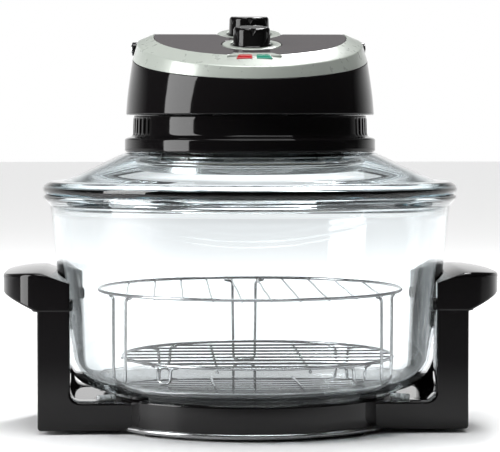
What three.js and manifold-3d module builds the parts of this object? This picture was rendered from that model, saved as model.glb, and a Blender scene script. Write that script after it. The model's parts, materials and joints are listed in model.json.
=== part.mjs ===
// Tabletop halogen oven: a glass bowl on a two-handled stand, a glass lid that carries the power head,
// and two wire racks. Millimetres, +Z up, -Y is the front, origin at the middle of the footprint.

import * as THREE from 'three';
import { mergeVertices } from 'three/addons/utils/BufferGeometryUtils.js';
import Module from 'manifold-3d';

const wasm = await Module();
wasm.setup();

// ------------------------------------------------------------------ driving dimensions

const gap = 0.3; // clearance between pieces that seat on each other
const runningGap = 0.5; // clearance between pieces that turn or slide
const wall = 2.5; // moulded plastic wall
const roundSides = 40; // facets round a large turned piece
const smallSides = 24; // facets round a middling one

// stand
const footHeight = 2;
const footRadius = 9;
const plinthRadius = 120;
const plinthTop = 27.7;
const plinthRim = 25; // width of the thick rim under the round plinth
const armTop = 24.5;
const armHalfDepth = 70;
const armSeam = 149; // where each arm meets its side frame
const postInner = 142;
const postWidth = 25;
const postDepth = 25;
const postTop = 120;
const postFillet = 8;
const windowTop = 76;
const webThickness = 4;

// side handles
const handleReach = 195.4;
const handleTop = 127;
const handleSkirtDrop = 32;
const handleTipDrop = 20;
const handleWall = 3.5;
const handleChamfer = new THREE.Vector2(12.8, 6.4);

// bowl
const bowlBase = 31;
const bowlHeight = 152.8;
const bowlFootRadius = 145.1;
const bowlNeckRadius = 158.6;
const bowlRimRadius = 164.8;
const bowlCorner = 28;
const bowlNeckDrop = 12.6; // height of the flared rim
const glassWall = 5;
const bowlClearance = 1.5; // between the bowl's wall and the stand's upper works
const bufferHeight = 99.6;
const padAngle = 38; // degrees from the side to each pad, peg and foot
const pegAngle = 27;
const footAngle = 45;

// lid glass
const lidRimRadius = 165;
const lidRimHeight = 10.2;
const lidRimWidth = 19;
const lidRise = 33.1; // from the lid's underside to the flat that carries the head
const lidSeatRadius = 100;
const lidHoleRadius = 82;
const lidLipDepth = 4;

// power head, heights above its own base
const neckRadius = 92.6;
const baseRingRadius = 100;
const baseRingHeight = 11;
const shellBase = 29.1;
const shellBaseRadius = 98.9;
const shellTopRadius = 93.6;
const shellTop = 73.4;
const trimCrease = 86.2;
const trimCreaseRadius = 89.5;
const panelRadius = 76.6;
const panelEdge = 91.7;
const panelThickness = 2.5;
const frontSlope = Math.tan(THREE.MathUtils.degToRad(12.4));
const rearSlope = Math.tan(THREE.MathUtils.degToRad(8));
const crestStart = 9;
const crestEnd = 22;
const jointTilt = 0.834; // share of the panel's slope that the shell's top edge takes
const ventPitch = 4.9; // degrees between vent slots
const ventStart = 62; // degrees from the front to the first slot

// controls
const timer = { y: -31, height: 82.7, tilt: 9, plateRadius: 23, knobRadius: 14.5, knobHeight: 15.5 };
const thermostat = { y: 18, height: 92.4, tilt: 5, plateRadius: 25.5, knobRadius: 16, knobHeight: 16 };
const knobSkirt = 1.2;
const shaftRadius = 3;
const plateRise = 1.5; // of a dial plate's rim above the seat of its knob
const tabHalfWidth = 21;
const tabBackHalfWidth = 14;
const tabDepth = 9.6;
const lensSize = new THREE.Vector2(12.4, 4.4);
const lensSpacing = 15.6;

// carrying handle that works the safety switch
const bailPivotY = 28;
const bailPivotHeight = 82.4;
const bailHalfWidth = 92;
const bailReach = 80;
const bailRise = THREE.MathUtils.degToRad(5);
const bailSection = new THREE.Vector2(4.4, 10);
const lugRadius = 5.5;
const pinRadius = 2.6;

// heating side, below the lid glass
const reflectorRadius = 74.5;
const reflectorDepth = 12;
const guardRadius = 90;
const guardDepth = 10.4;
const tubeRingRadius = 60;
const tubeRadius = 4.5;
const fanRadius = 47;

// racks
const rackWire = 1.25; // radius of the rings and legs
const barWire = 0.9; // radius of the parallel wires
const highRackRadius = 120.8;
const highRackHeight = 72; // above the bowl's floor
const lowRackRadius = highRackRadius - 12.8; // it drops in between the high rack's legs
const lowRackHeight = 18.5;
const rackPitch = 21.8;
const rackBars = 10;
const lowRackPitch = 24;
const lowRackBars = 8;
const rackLegWidth = 20;
const rackLegAngles = { rear: 90, left: 210, right: 330 };
const lowLegWidth = 14;
const lowRackOffset = new THREE.Vector2(6, 2);

// ------------------------------------------------------------------ finishes

const finish = (color, roughness, metalness) =>
  new THREE.MeshStandardMaterial({ color, roughness, metalness });
const blackGloss = finish(0x0b0a0b, 0.12, 0);
const silverPlastic = finish(0xb4bab3, 0.3, 0.1);
const blackRubber = finish(0x141414, 0.8, 0);
const paleSilicone = finish(0xc9cdd0, 0.5, 0);
const glass = new THREE.MeshStandardMaterial({
  color: 0xd8e8ec, roughness: 0.02, transparent: true, opacity: 0.35,
});
const chromeWire = finish(0xd0d2d4, 0.15, 1);
const sheetSteel = finish(0xbfc2c5, 0.3, 1);
const quartz = finish(0xf1ead8, 0.1, 0);
const redLens = finish(0xc0141c, 0.15, 0);
const greenLens = finish(0x0f8f68, 0.15, 0);
const darkPlastic = finish(0x1d1d1f, 0.5, 0);

// ------------------------------------------------------------------ geometry helpers

// Welds a closed geometry, drops collapsed triangles and turns its faces outwards.
function closed(geometry) {
  const bare = geometry.index ? geometry.toNonIndexed() : geometry.clone();
  bare.deleteAttribute('normal');
  bare.deleteAttribute('uv');
  const welded = mergeVertices(bare, 1e-4);
  const corners = welded.index.array;
  const kept = [];
  const point = [new THREE.Vector3(), new THREE.Vector3(), new THREE.Vector3()];
  let volume = 0;
  for (let first = 0; first < corners.length; first += 3) {
    const [a, b, c] = corners.slice(first, first + 3);
    if (a === b || b === c || c === a) {
      continue;
    }
    point.forEach((vertex, side) => vertex.fromBufferAttribute(welded.attributes.position, [a, b, c][side]));
    volume += point[0].dot(point[1].clone().cross(point[2]));
    kept.push(a, b, c);
  }
  if (volume < 0) {
    kept.reverse();
  }
  welded.setIndex(kept);
  return welded;
}

const solidOf = (geometry) => {
  const mesh = closed(geometry);
  return new wasm.Manifold(new wasm.Mesh({
    numProp: 3,
    vertProperties: new Float32Array(mesh.attributes.position.array),
    triVerts: new Uint32Array(mesh.index.array),
  }));
};

const geometryOf = (solid) => {
  const mesh = solid.getMesh();
  const geometry = new THREE.BufferGeometry();
  geometry.setAttribute('position', new THREE.BufferAttribute(new Float32Array(mesh.vertProperties), 3));
  geometry.setIndex(Array.from(mesh.triVerts));
  return geometry;
};

const joined = (first, ...others) =>
  geometryOf(others.reduce((solid, other) => solid.add(solidOf(other)), solidOf(first)));

const cut = (body, ...tools) =>
  geometryOf(tools.reduce((solid, tool) => solid.subtract(solidOf(tool)), solidOf(body)));

const common = (body, tool) => geometryOf(solidOf(body).intersect(solidOf(tool)));

// Turns a closed [radius, height] outline about Z.
function turned(outline, segments = roundSides) {
  const points = outline.map(([radius, height]) => new THREE.Vector2(radius, height));
  const onAxis = points[0].x === 0 && points[points.length - 1].x === 0;
  if (!onAxis) {
    points.push(points[0].clone());
  }
  return new THREE.LatheGeometry(points, segments).rotateX(Math.PI / 2);
}

const cylinder = (radius, low, high, segments = smallSides) =>
  turned([[0, low], [radius, low], [radius, high], [0, high]], segments);

const tube = (inner, outer, low, high, segments = smallSides) =>
  turned([[inner, low], [outer, low], [outer, high], [inner, high]], segments);

// A box from its lowest to its highest corner.
function block(low, high) {
  const size = high.map((value, axis) => value - low[axis]);
  const middle = high.map((value, axis) => (value + low[axis]) / 2);
  return new THREE.BoxGeometry(...size).translate(...middle);
}

const outlineShape = (points) => new THREE.Shape(points.map(([x, y]) => new THREE.Vector2(x, y)));

const raised = (shape, low, high, curveSegments = 12) =>
  new THREE.ExtrudeGeometry(shape, { depth: high - low, bevelEnabled: false, curveSegments })
    .translate(0, 0, low);

// A prism whose outline is drawn in X and Z and that runs along Y.
const acrossDepth = (points, low, high) =>
  raised(outlineShape(points), -high, -low).rotateX(Math.PI / 2);

// A round wire along a smooth path.
function wire(points, radius, steps, closedPath = false, facets = 6) {
  const knots = points.map((point) => new THREE.Vector3(...point));
  const path = new THREE.CatmullRomCurve3(knots, closedPath, 'catmullrom', 0.5);
  const section = new THREE.Shape().absarc(0, 0, radius, 0, Math.PI * 2);
  const settings = { steps, extrudePath: path, bevelEnabled: false, curveSegments: facets / 2 };
  return new THREE.ExtrudeGeometry(section, settings);
}

const ring = (radius, wireRadius, height, segments = 40, facets = 5) =>
  new THREE.TorusGeometry(radius, wireRadius, facets, segments).translate(0, 0, height);

const straightWire = (from, to, radius, facets = 5) => {
  const start = new THREE.Vector3(...from);
  const span = new THREE.Vector3(...to).sub(start);
  const turn = new THREE.Quaternion().setFromUnitVectors(new THREE.Vector3(0, 1, 0), span.clone().normalize());
  return new THREE.CylinderGeometry(radius, radius, span.length(), facets)
    .applyQuaternion(turn)
    .translate(...start.addScaledVector(span, 0.5).toArray());
};

function piece(group, name, geometry, material) {
  const mesh = new THREE.Mesh(closed(geometry), material);
  mesh.name = name;
  group.add(mesh);
  return mesh;
}

function groupAt(parent, x, y, z) {
  const group = new THREE.Group();
  group.position.set(x, y, z);
  parent.add(group);
  return group;
}

const polar = (radius, degrees) => {
  const angle = THREE.MathUtils.degToRad(degrees);
  return [radius * Math.cos(angle), radius * Math.sin(angle)];
};

const sides = [{ name: 'left', sign: -1 }, { name: 'right', sign: 1 }];
const corners = sides.flatMap(({ name, sign }) => [
  { name: `front_${name}`, x: sign, y: -1 },
  { name: `rear_${name}`, x: sign, y: 1 },
]);

const oven = new THREE.Group();

// ------------------------------------------------------------------ stand

// Outside radius of the bowl's plain wall at a height above the table.
const bowlWallRadius = (height) => {
  const low = bowlBase + bowlCorner;
  const high = bowlBase + bowlHeight - bowlNeckDrop;
  return THREE.MathUtils.mapLinear(height, low, high, bowlFootRadius, bowlNeckRadius);
};
const postOuter = postInner + postWidth;
// The space kept clear for the bowl between the posts: its wall moved out by the clearance.
const bowlRoom = turned([
  [0, bowlBase + bowlCorner], [bowlWallRadius(bowlBase + bowlCorner) + bowlClearance, bowlBase + bowlCorner],
  [bowlWallRadius(handleTop + 1) + bowlClearance, handleTop + 1], [0, handleTop + 1],
], 96);

function basePlinth() {
  const arms = block([-armSeam, -armHalfDepth, footHeight + 1], [armSeam, armHalfDepth, armTop]);
  const disc = turned([
    [0, footHeight], [plinthRadius, footHeight], [plinthRadius, footHeight + 3.5],
    [plinthRadius - 1.5, footHeight + 5], [plinthRadius - 1.5, plinthTop - 1.5], [plinthRadius - 3, plinthTop],
    [0, plinthTop],
  ]);
  const hollow = cylinder(plinthRadius - plinthRim, 0, plinthTop - wall);
  const armHollows = sides.map(({ sign }) => {
    const ends = [sign * (plinthRadius + wall), sign * (armSeam - wall)].sort((a, b) => a - b);
    return block([ends[0], wall - armHalfDepth, 0], [ends[1], armHalfDepth - wall, armTop - wall]);
  });
  return cut(joined(arms, disc), hollow, ...armHollows);
}

// One L-shaped frame: the end of the arm, two posts and the web that ties them under the handle.
function sideFrame() {
  const lowEdge = footHeight + 1;
  const seat = armTop + gap;
  const foot = postInner - postFillet;
  const outline = [[armSeam + gap, lowEdge], [postOuter, lowEdge], [postOuter, postTop], [postInner, postTop]];
  const filletSteps = 5;
  for (let step = 0; step <= filletSteps; step += 1) {
    const angle = (step / filletSteps) * (Math.PI / 2);
    outline.push([foot + postFillet * Math.cos(angle), seat + 0.4 + postFillet * (1 - Math.sin(angle))]);
  }
  outline.push([foot, seat], [armSeam + gap, seat]);
  const body = acrossDepth(outline, -armHalfDepth, armHalfDepth);
  const opening = armHalfDepth - postDepth;
  const window = block([foot - 1, -opening, seat], [postOuter + 1, opening, windowTop]);
  const webFace = bowlWallRadius(handleTop) + bowlClearance + webThickness;
  const aboveWindow = block([webFace, -opening, windowTop - 1], [postOuter + 1, opening, postTop + 1]);
  return cut(body, window, aboveWindow, bowlRoom);
}

function handlePlan(inset) {
  const start = inset > 0 ? postOuter + gap + inset : postInner;
  const half = armHalfDepth - inset;
  const reach = handleReach - inset;
  const shoulder = postOuter - 2;
  const tip = armHalfDepth / 3;
  const plan = new THREE.Shape();
  plan.moveTo(start, -half);
  plan.lineTo(Math.max(start, shoulder), -half);
  plan.bezierCurveTo(shoulder + 14, -half, reach, -tip * 2, reach, -tip + inset);
  plan.lineTo(reach, tip - inset);
  plan.bezierCurveTo(reach, tip * 2, shoulder + 14, half, Math.max(start, shoulder), half);
  plan.lineTo(start, half);
  return plan;
}

// A D-shaped grip that caps the posts and is hollow from below for the fingers.
function sideHandle() {
  const skirt = handleTop - handleSkirtDrop;
  const body = raised(handlePlan(0), skirt, handleTop, 10);
  const overPosts = block([0, -handleReach, 0], [postOuter + gap, handleReach, postTop + gap]);
  const fingers = raised(handlePlan(handleWall), 0, handleTop - handleWall, 8);
  const underside = acrossDepth([
    [postOuter - 5, 0], [handleReach + 20, 0], [handleReach + 20, handleTop - handleTipDrop + 9],
    [handleReach - 2, handleTop - handleTipDrop], [postOuter, skirt], [postOuter - 5, skirt - 1],
  ], -handleReach, handleReach);
  const chamfer = acrossDepth([
    [0, handleTop - handleChamfer.y], [postInner, handleTop - handleChamfer.y],
    [postInner + handleChamfer.x, handleTop], [postInner + handleChamfer.x, handleTop + 5], [0, handleTop + 5],
  ], -handleReach, handleReach);
  return cut(body, overPosts, fingers, underside, chamfer, bowlRoom);
}

function buildStand() {
  piece(oven, 'base_plinth', basePlinth(), blackGloss);
  for (const { name, sign } of sides) {
    const side = groupAt(oven, 0, 0, 0);
    side.rotation.z = sign > 0 ? 0 : Math.PI;
    piece(side, `${name}_side_frame`, sideFrame(), blackGloss);
    piece(side, `${name}_handle`, sideHandle(), blackGloss);
  }
  const bufferY = armHalfDepth - postDepth / 2;
  const reachToBowl = postInner - Math.sqrt(bowlWallRadius(bufferHeight) ** 2 - bufferY ** 2);
  const bufferLength = reachToBowl - 4.5 * gap;
  for (const { name, x, y } of corners) {
    const dome = [[0, 0], [5, 0], [4.8, bufferLength * 0.5], [3, bufferLength * 0.9], [0, bufferLength]];
    const buffer = turned(dome, 20);
    const mesh = piece(groupAt(oven, 0, 0, 0), `bowl_buffer_${name}`, buffer, blackRubber);
    mesh.position.set(x * (postInner - gap), y * bufferY, bufferHeight);
    mesh.rotation.y = -x * (Math.PI / 2);

    const padTurn = x * y * padAngle + (x > 0 ? 0 : 180);
    const padHeight = bowlBase - gap - (plinthTop + gap);
    const pad = cylinder(5.6, 0, padHeight, 20).scale(1, 1.4, 1);
    const padMesh = piece(oven, `bowl_pad_${name}`, pad, blackRubber);
    padMesh.position.set(...polar(bowlFootRadius - bowlCorner - 5, padTurn), plinthTop + gap);
    padMesh.rotation.z = THREE.MathUtils.degToRad(padTurn);

    const pegTurn = x * y * pegAngle + (x > 0 ? 0 : 180);
    const peg = cylinder(2.5, 0, 15, 12).rotateY(Math.PI / 2);
    const pegMesh = piece(oven, `bowl_peg_${name}`, peg, paleSilicone);
    pegMesh.position.set(...polar(plinthRadius + 1, pegTurn), armTop + gap + 2.5);
    pegMesh.rotation.z = THREE.MathUtils.degToRad(pegTurn);

    const footTop = footHeight - gap;
    const foot = turned([[0, 0], [footRadius - 0.5, 0], [footRadius, footTop], [0, footTop]], 20);
    const footMesh = piece(oven, `rubber_foot_${name}`, foot, blackRubber);
    footMesh.position.set(...polar(plinthRadius - plinthRim / 2, x * y * footAngle + (x > 0 ? 0 : 180)), 0);
  }
}

// ------------------------------------------------------------------ bowl and racks

// Outer wall of the bowl from the middle of its floor up to the rim, heights above its own base.
function bowlOutside() {
  const outline = [[0, 0]];
  const centre = [bowlFootRadius - bowlCorner, bowlCorner];
  const cornerSteps = 5;
  for (let step = 0; step <= cornerSteps; step += 1) {
    const angle = -Math.PI / 2 + (step / cornerSteps) * (Math.PI / 2);
    outline.push([centre[0] + bowlCorner * Math.cos(angle), centre[1] + bowlCorner * Math.sin(angle)]);
  }
  const neck = bowlHeight - bowlNeckDrop;
  outline.push([bowlNeckRadius, neck]);
  const flare = bowlRimRadius - bowlNeckRadius;
  outline.push([bowlNeckRadius + flare * 0.14, neck + 4], [bowlNeckRadius + flare * 0.36, neck + 7.4]);
  outline.push([bowlRimRadius - 1, bowlHeight - 3.2], [bowlRimRadius, bowlHeight - 1]);
  outline.push([bowlRimRadius - 0.6, bowlHeight]);
  return outline;
}

function bowlInside() {
  const outline = [];
  const neck = bowlHeight - bowlNeckDrop;
  outline.push([bowlNeckRadius - glassWall + 1.4, bowlHeight], [bowlNeckRadius - glassWall, neck]);
  const corner = bowlCorner - glassWall;
  const centre = [bowlFootRadius - bowlCorner, bowlCorner];
  const cornerSteps = 4;
  for (let step = 0; step <= cornerSteps; step += 1) {
    const angle = -(step / cornerSteps) * (Math.PI / 2);
    outline.push([centre[0] + corner * Math.cos(angle), centre[1] + corner * Math.sin(angle)]);
  }
  outline.push([0, glassWall]);
  return outline;
}

// Wires laid side by side inside a ring, running along Y or, when turned, along X.
function grid(radius, count, pitch, alongX) {
  return Array.from({ length: count }, (_, index) => {
    const offset = (index - (count - 1) / 2) * pitch;
    const half = Math.sqrt(radius ** 2 - offset ** 2);
    return alongX
      ? straightWire([-half, offset, 0], [half, offset, 0], barWire)
      : straightWire([offset, -half, 0], [offset, half, 0], barWire);
  });
}

// A U-shaped leg whose two tops curl outwards to the ring; heights above the bowl's floor.
function rackLeg(width, top, radius) {
  const low = rackWire + 2 * gap;
  const half = width / 2;
  const bend = 4;
  const right = [
    [radius, half, top], [radius, half, top - 10], [radius, half, (top + low) / 2], [radius, half, low + bend],
    [radius, half - bend * 0.3, low + bend * 0.3], [radius, half - bend, low],
  ];
  const left = right.map(([x, y, z]) => [x, -y, z]).reverse();
  return wire([...right, ...left], rackWire, 14);
}

function buildBowlAndRacks() {
  const bowl = groupAt(oven, 0, 0, bowlBase);
  piece(bowl, 'glass_bowl', turned([...bowlOutside(), ...bowlInside()]), glass);

  const floor = groupAt(bowl, 0, 0, glassWall);
  const highGrid = joined(ring(highRackRadius, rackWire, 0), ...grid(highRackRadius, rackBars, rackPitch, false));
  const highMesh = piece(floor, 'high_rack_grid', highGrid, chromeWire);
  highMesh.position.z = highRackHeight;
  const legTop = highRackHeight - rackWire - gap;
  Object.entries(rackLegAngles).forEach(([name, degrees]) => {
    const hoop = rackLeg(rackLegWidth, legTop, highRackRadius - 2 * rackWire);
    const leg = piece(floor, `high_rack_leg_${name}`, hoop, chromeWire);
    leg.rotation.z = THREE.MathUtils.degToRad(degrees);
  });

  const lowGrid = [ring(lowRackRadius, rackWire, lowRackHeight)];
  grid(lowRackRadius, lowRackBars, lowRackPitch, true)
    .forEach((bar) => lowGrid.push(bar.translate(0, 0, lowRackHeight)));
  for (const degrees of [45, 135, 225, 315]) {
    const foot = rackLeg(lowLegWidth, lowRackHeight, lowRackRadius);
    lowGrid.push(foot.rotateZ(THREE.MathUtils.degToRad(degrees)));
  }
  const lowMesh = piece(floor, 'low_rack', joined(...lowGrid), chromeWire);
  lowMesh.position.set(lowRackOffset.x, lowRackOffset.y, 0);
}

// ------------------------------------------------------------------ lid glass

// Heights above the lid's underside, which stands one gap above the bowl's rim.
function lidGlass() {
  const rimInner = lidRimRadius - lidRimWidth;
  const lipOuter = bowlNeckRadius - glassWall - runningGap;
  const underSlope = glassWall + 1;
  return turned([
    [lidRimRadius - 1.2, 0], [lidRimRadius, 1.2], [lidRimRadius, lidRimHeight - 1.6],
    [lidRimRadius - 1.6, lidRimHeight], [rimInner + 1, lidRimHeight], [rimInner, lidRimHeight + 1.4],
    [lidSeatRadius, lidRise - 0.6], [lidSeatRadius - 3, lidRise], [lidHoleRadius, lidRise],
    [lidHoleRadius, lidRise - glassWall], [lidSeatRadius - 4, lidRise - glassWall],
    [rimInner - 2, lidRimHeight + 1.4 - underSlope], [rimInner, 0.4], [rimInner, -lidLipDepth],
    [rimInner + 3, -lidLipDepth - 0.6], [lipOuter, -lidLipDepth], [lipOuter, 0],
  ]);
}

// ------------------------------------------------------------------ power head

// Rise of the head's tilted top at a depth y: it climbs from the front, crests and falls to the rear.
function topRise(y) {
  if (y <= crestStart) {
    return frontSlope * y;
  }
  const run = crestEnd - crestStart;
  const along = Math.min(y, crestEnd) - crestStart;
  const curved = frontSlope * along - ((frontSlope + rearSlope) * along * along) / (2 * run);
  return frontSlope * crestStart + curved - rearSlope * Math.max(0, y - crestEnd);
}

// A turned outline of [radius, height, share], sheared so that each point takes its share of the tilt.
function tiltedRing(outline, segments = roundSides) {
  const shares = [...outline, outline[0]].map((point) => point[2]);
  const geometry = turned(outline, segments);
  const position = geometry.attributes.position;
  for (let index = 0; index < position.count; index += 1) {
    const lift = shares[index % shares.length] * topRise(position.getY(index));
    position.setZ(index, position.getZ(index) + lift);
  }
  return geometry;
}

// The space below the tilted top, shifted up by a height, between two widths.
function underTop(height, halfWidth, front, rear, depth) {
  const steps = 16;
  const top = Array.from({ length: steps + 1 }, (_, step) => {
    const y = front + ((rear - front) * step) / steps;
    return [y, height + topRise(y)];
  });
  const bottom = top.map(([y, z]) => [y, z - depth]).reverse();
  // the outline is drawn in Y and Z and runs along X
  return raised(outlineShape([...top, ...bottom]), -halfWidth, halfWidth)
    .applyMatrix4(new THREE.Matrix4().makeBasis(
      new THREE.Vector3(0, 1, 0), new THREE.Vector3(0, 0, 1), new THREE.Vector3(1, 0, 0)));
}

function lowerHousing() {
  const top = shellBase - gap;
  const outline = [
    [lidHoleRadius - 4, 0], [baseRingRadius - 1.5, 0], [baseRingRadius, 1.5], [baseRingRadius, baseRingHeight - 2],
    [baseRingRadius - 2, baseRingHeight], [neckRadius + 1, baseRingHeight + 1.4], [neckRadius, top],
    [neckRadius - wall, top], [neckRadius + 1 - wall, baseRingHeight - 1], [baseRingRadius - 3, baseRingHeight - 3],
    [baseRingRadius - 3, wall], [lidHoleRadius - 4, wall],
  ];
  const slots = [];
  for (let degrees = ventStart; degrees <= 360 - ventStart; degrees += ventPitch * 2) {
    const slot = block([neckRadius - 6, -2.2, baseRingHeight + 4], [neckRadius + 6, 2.2, top - 3]);
    slots.push(slot.rotateZ(THREE.MathUtils.degToRad(degrees - 90)));
  }
  return cut(turned(outline), ...slots);
}

const inletHalfWidth = 14;
const inletLow = 40;
const inletHigh = 62;

function upperShell() {
  const middle = (shellBase + shellTop) / 2;
  const middleRadius = (shellBaseRadius + shellTopRadius) / 2 + 0.6;
  const shell = tiltedRing([
    [shellBaseRadius - 12, shellBase, 0], [shellBaseRadius - 0.8, shellBase, 0],
    [shellBaseRadius, shellBase + 0.8, 0], [middleRadius, middle, jointTilt * 0.2],
    [shellTopRadius, shellTop, jointTilt], [shellTopRadius - wall, shellTop, jointTilt],
    [middleRadius - wall, middle, jointTilt * 0.2], [shellBaseRadius - wall, shellBase + wall, 0],
    [shellBaseRadius - 12, shellBase + wall, 0],
  ]);
  const inletHole = block(
    [-inletHalfWidth - gap, shellTopRadius - 20, inletLow - gap],
    [inletHalfWidth + gap, shellBaseRadius + 20, inletHigh + gap],
  );
  return cut(shell, inletHole);
}

const trimEdge = panelRadius + 0.4;

function trimBody() {
  return tiltedRing([
    [shellTopRadius - 0.2, shellTop + gap, jointTilt], [trimCreaseRadius, trimCrease, 1.04],
    [trimEdge, panelEdge, 1], [trimEdge, panelEdge - wall, 1], [trimCreaseRadius - 2, trimCrease - 2, 1.04],
    [shellTopRadius - 0.2 - wall, shellTop + gap, jointTilt],
  ]);
}

// The silver ring and the tab that fills the panel's front notch, with windows for the lenses in its bevel.
function trimRing() {
  const tabOutline = outlineShape([
    [-tabHalfWidth, -trimEdge - 1], [tabHalfWidth, -trimEdge - 1], [tabHalfWidth, -trimEdge],
    [tabBackHalfWidth, tabDepth - trimEdge], [-tabBackHalfWidth, tabDepth - trimEdge], [-tabHalfWidth, -trimEdge],
  ]);
  const tabColumn = raised(tabOutline, 0, panelEdge + 20);
  const tab = common(tabColumn, underTop(panelEdge, 60, -110, 40, wall));
  return cut(joined(trimBody(), tab), ...[-1, 1].map((sign) => lensOutline(sign, 0, 0, panelEdge + 20)));
}

// Window of one indicator lens, slanted at its outer end.
function lensOutline(sign, inset, low, high) {
  const inner = sign * (lensSpacing - lensSize.x) / 2 + sign * inset;
  const outer = inner + sign * (lensSize.x - 2 * inset);
  const far = -panelRadius + 0.2 - inset;
  const near = far - lensSize.y + 2 * inset;
  return raised(outlineShape([[inner, near], [outer, near], [outer - sign * 2, far], [inner, far]]), low, high);
}

function controlGroup(head, control) {
  const group = groupAt(head, 0, control.y, control.height);
  group.rotation.x = THREE.MathUtils.degToRad(control.tilt);
  group.updateMatrix();
  return group;
}

function controlPanel(groups) {
  const disc = cylinder(panelRadius, 0, panelEdge + 20, roundSides);
  const skin = common(disc, underTop(panelEdge - gap, 100, -100, 100, panelThickness));
  const holes = groups.map(({ group, control }) =>
    cylinder(control.plateRadius + gap, -20, 20).applyMatrix4(group.matrix));
  const [front, back] = [tabHalfWidth + 2 * gap, tabBackHalfWidth + 2 * gap];
  const notch = tabDepth - trimEdge + gap;
  const tabSlot = raised(outlineShape([
    [-front, -panelRadius - 6], [front, -panelRadius - 6], [front, -trimEdge],
    [back, notch], [-back, notch], [-front, -trimEdge],
  ]), 0, panelEdge + 20);
  return cut(skin, ...holes, tabSlot);
}

// A knob with six finger notches in its top edge and a blind bore for its shaft.
function knob(control) {
  const { knobRadius: radius, knobHeight: height } = control;
  const body = turned([
    [0, 0], [radius + knobSkirt, 0], [radius + knobSkirt * 0.4, 1.2], [radius - 0.3, height - 1.4],
    [radius - 1.8, height], [0, height],
  ], 28);
  const bore = cylinder(shaftRadius + 0.05, -1, height - 4, 12);
  const notches = Array.from({ length: 6 }, (_, index) => {
    const notch = new THREE.ConeGeometry(3.4, 12, 4).rotateX(-Math.PI / 2).scale(0.8, 1, 1);
    return notch.rotateX(0.5).translate(0, -radius, height).rotateZ((index * Math.PI) / 3);
  });
  return cut(body, bore, ...notches);
}

function buildControl(head, name, control, group) {
  const rim = control.plateRadius;
  const recess = control.knobRadius + knobSkirt + 0.8;
  const plate = turned([
    [shaftRadius + runningGap, -wall], [rim, -wall], [rim, plateRise - 0.5], [rim - 0.6, plateRise],
    [recess + 0.6, plateRise], [recess, 0], [shaftRadius + runningGap, 0],
  ], smallSides);
  piece(group, `${name}_dial_plate`, plate, silverPlastic);
  const turning = groupAt(group, 0, 0, 0);
  piece(turning, `${name}_knob`, knob(control), blackGloss).position.z = runningGap;
  const shaftLow = -wall - 3;
  const shaft = cylinder(shaftRadius - 0.1, shaftLow, control.knobHeight - 4, 12);
  piece(turning, `${name}_shaft`, shaft, sheetSteel);
  const module = joined(
    block([-18, -15, shaftLow - 20], [18, 15, shaftLow - runningGap - 2]),
    cylinder(6, shaftLow - 4, shaftLow - runningGap, 12),
  );
  piece(group, `${name}_module`, module, darkPlastic);
}

function buildFan(head) {
  const bladeRing = (count, hubRadius, radius, low, high, pitch) => {
    const hub = tube(shaftRadius + 0.05, hubRadius, low, high, 16);
    const blades = Array.from({ length: count }, (_, index) => {
      const blade = new THREE.BoxGeometry(radius - hubRadius + 2, 1.4, (high - low) / Math.cos(pitch));
      blade.rotateX(pitch).translate((radius + hubRadius) / 2 - 1, 0, (low + high) / 2);
      return blade.rotateZ((index / count) * Math.PI * 2);
    });
    return joined(hub, ...blades);
  };
  const shaftLow = -reflectorDepth + 1;
  piece(head, 'motor_shaft', cylinder(shaftRadius - 0.1, shaftLow, 50, 12), sheetSteel);
  piece(head, 'hot_air_fan', bladeRing(8, 9, fanRadius, shaftLow + 1, shaftLow + 7, 0.7), sheetSteel);
  piece(head, 'cooling_fan', bladeRing(9, 9, 42, 40.5, 47, 0.6), darkPlastic);
  const motorProfile = [
    [shaftRadius + runningGap, 9], [26, 9], [30, 12], [30, 34], [26, 37], [shaftRadius + runningGap, 37],
  ];
  piece(head, 'motor_body', turned(motorProfile, 20), darkPlastic);
  const shield = turned([
    [shaftRadius + 3, 4], [lidHoleRadius - 6, 4], [lidHoleRadius - 4, 6], [lidHoleRadius - 5.5, 6],
    [lidHoleRadius - 7, 5.2], [shaftRadius + 3, 5.2],
  ], smallSides);
  piece(head, 'heat_shield', shield, sheetSteel);
}

function buildHeater(head) {
  const ceiling = -gap;
  const low = -reflectorDepth;
  const sheet = 1.6;
  const flange = guardRadius - 1;
  const dish = turned([
    [shaftRadius + 3, ceiling], [reflectorRadius - 1, ceiling], [reflectorRadius, ceiling - 1],
    [reflectorRadius, low], [flange, low], [flange, low - sheet], [reflectorRadius - sheet, low - sheet],
    [reflectorRadius - sheet, ceiling - sheet], [shaftRadius + 3, ceiling - sheet],
  ]);
  piece(head, 'reflector_dish', dish, sheetSteel);
  const tubeHeight = low - sheet - 1.5;
  piece(head, 'halogen_tube', ring(tubeRingRadius, tubeRadius, tubeHeight, 28, 8), quartz);
  for (const { name, sign } of sides) {
    const holder = block([-4, -5, tubeHeight + tubeRadius + gap], [4, 5, ceiling - sheet - gap]);
    piece(head, `tube_holder_${name}`, holder, paleSilicone).position.x = sign * tubeRingRadius;
  }
  const panTop = low - sheet - gap;
  const guardPan = turned([
    [guardRadius - 1.6, panTop - guardDepth], [guardRadius, panTop - guardDepth], [guardRadius, panTop - 2.4],
    [guardRadius + 2, panTop - 1.2], [guardRadius + 1, panTop], [guardRadius - 1.6, panTop - 1],
  ]);
  piece(head, 'guard_pan', guardPan, sheetSteel);
  const grille = [28, 56, 84].map((radius) => ring(radius, 1.1, 0, 32, 4));
  for (let index = 0; index < 3; index += 1) {
    const reach = guardRadius - 2.2;
    const bar = straightWire([-reach, 0, 0], [reach, 0, 0], 1.1, 4);
    grille.push(bar.rotateZ((index * Math.PI) / 3));
  }
  piece(head, 'wire_guard', joined(...grille), chromeWire).position.z = panTop - guardDepth + 1.5;
}

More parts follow.
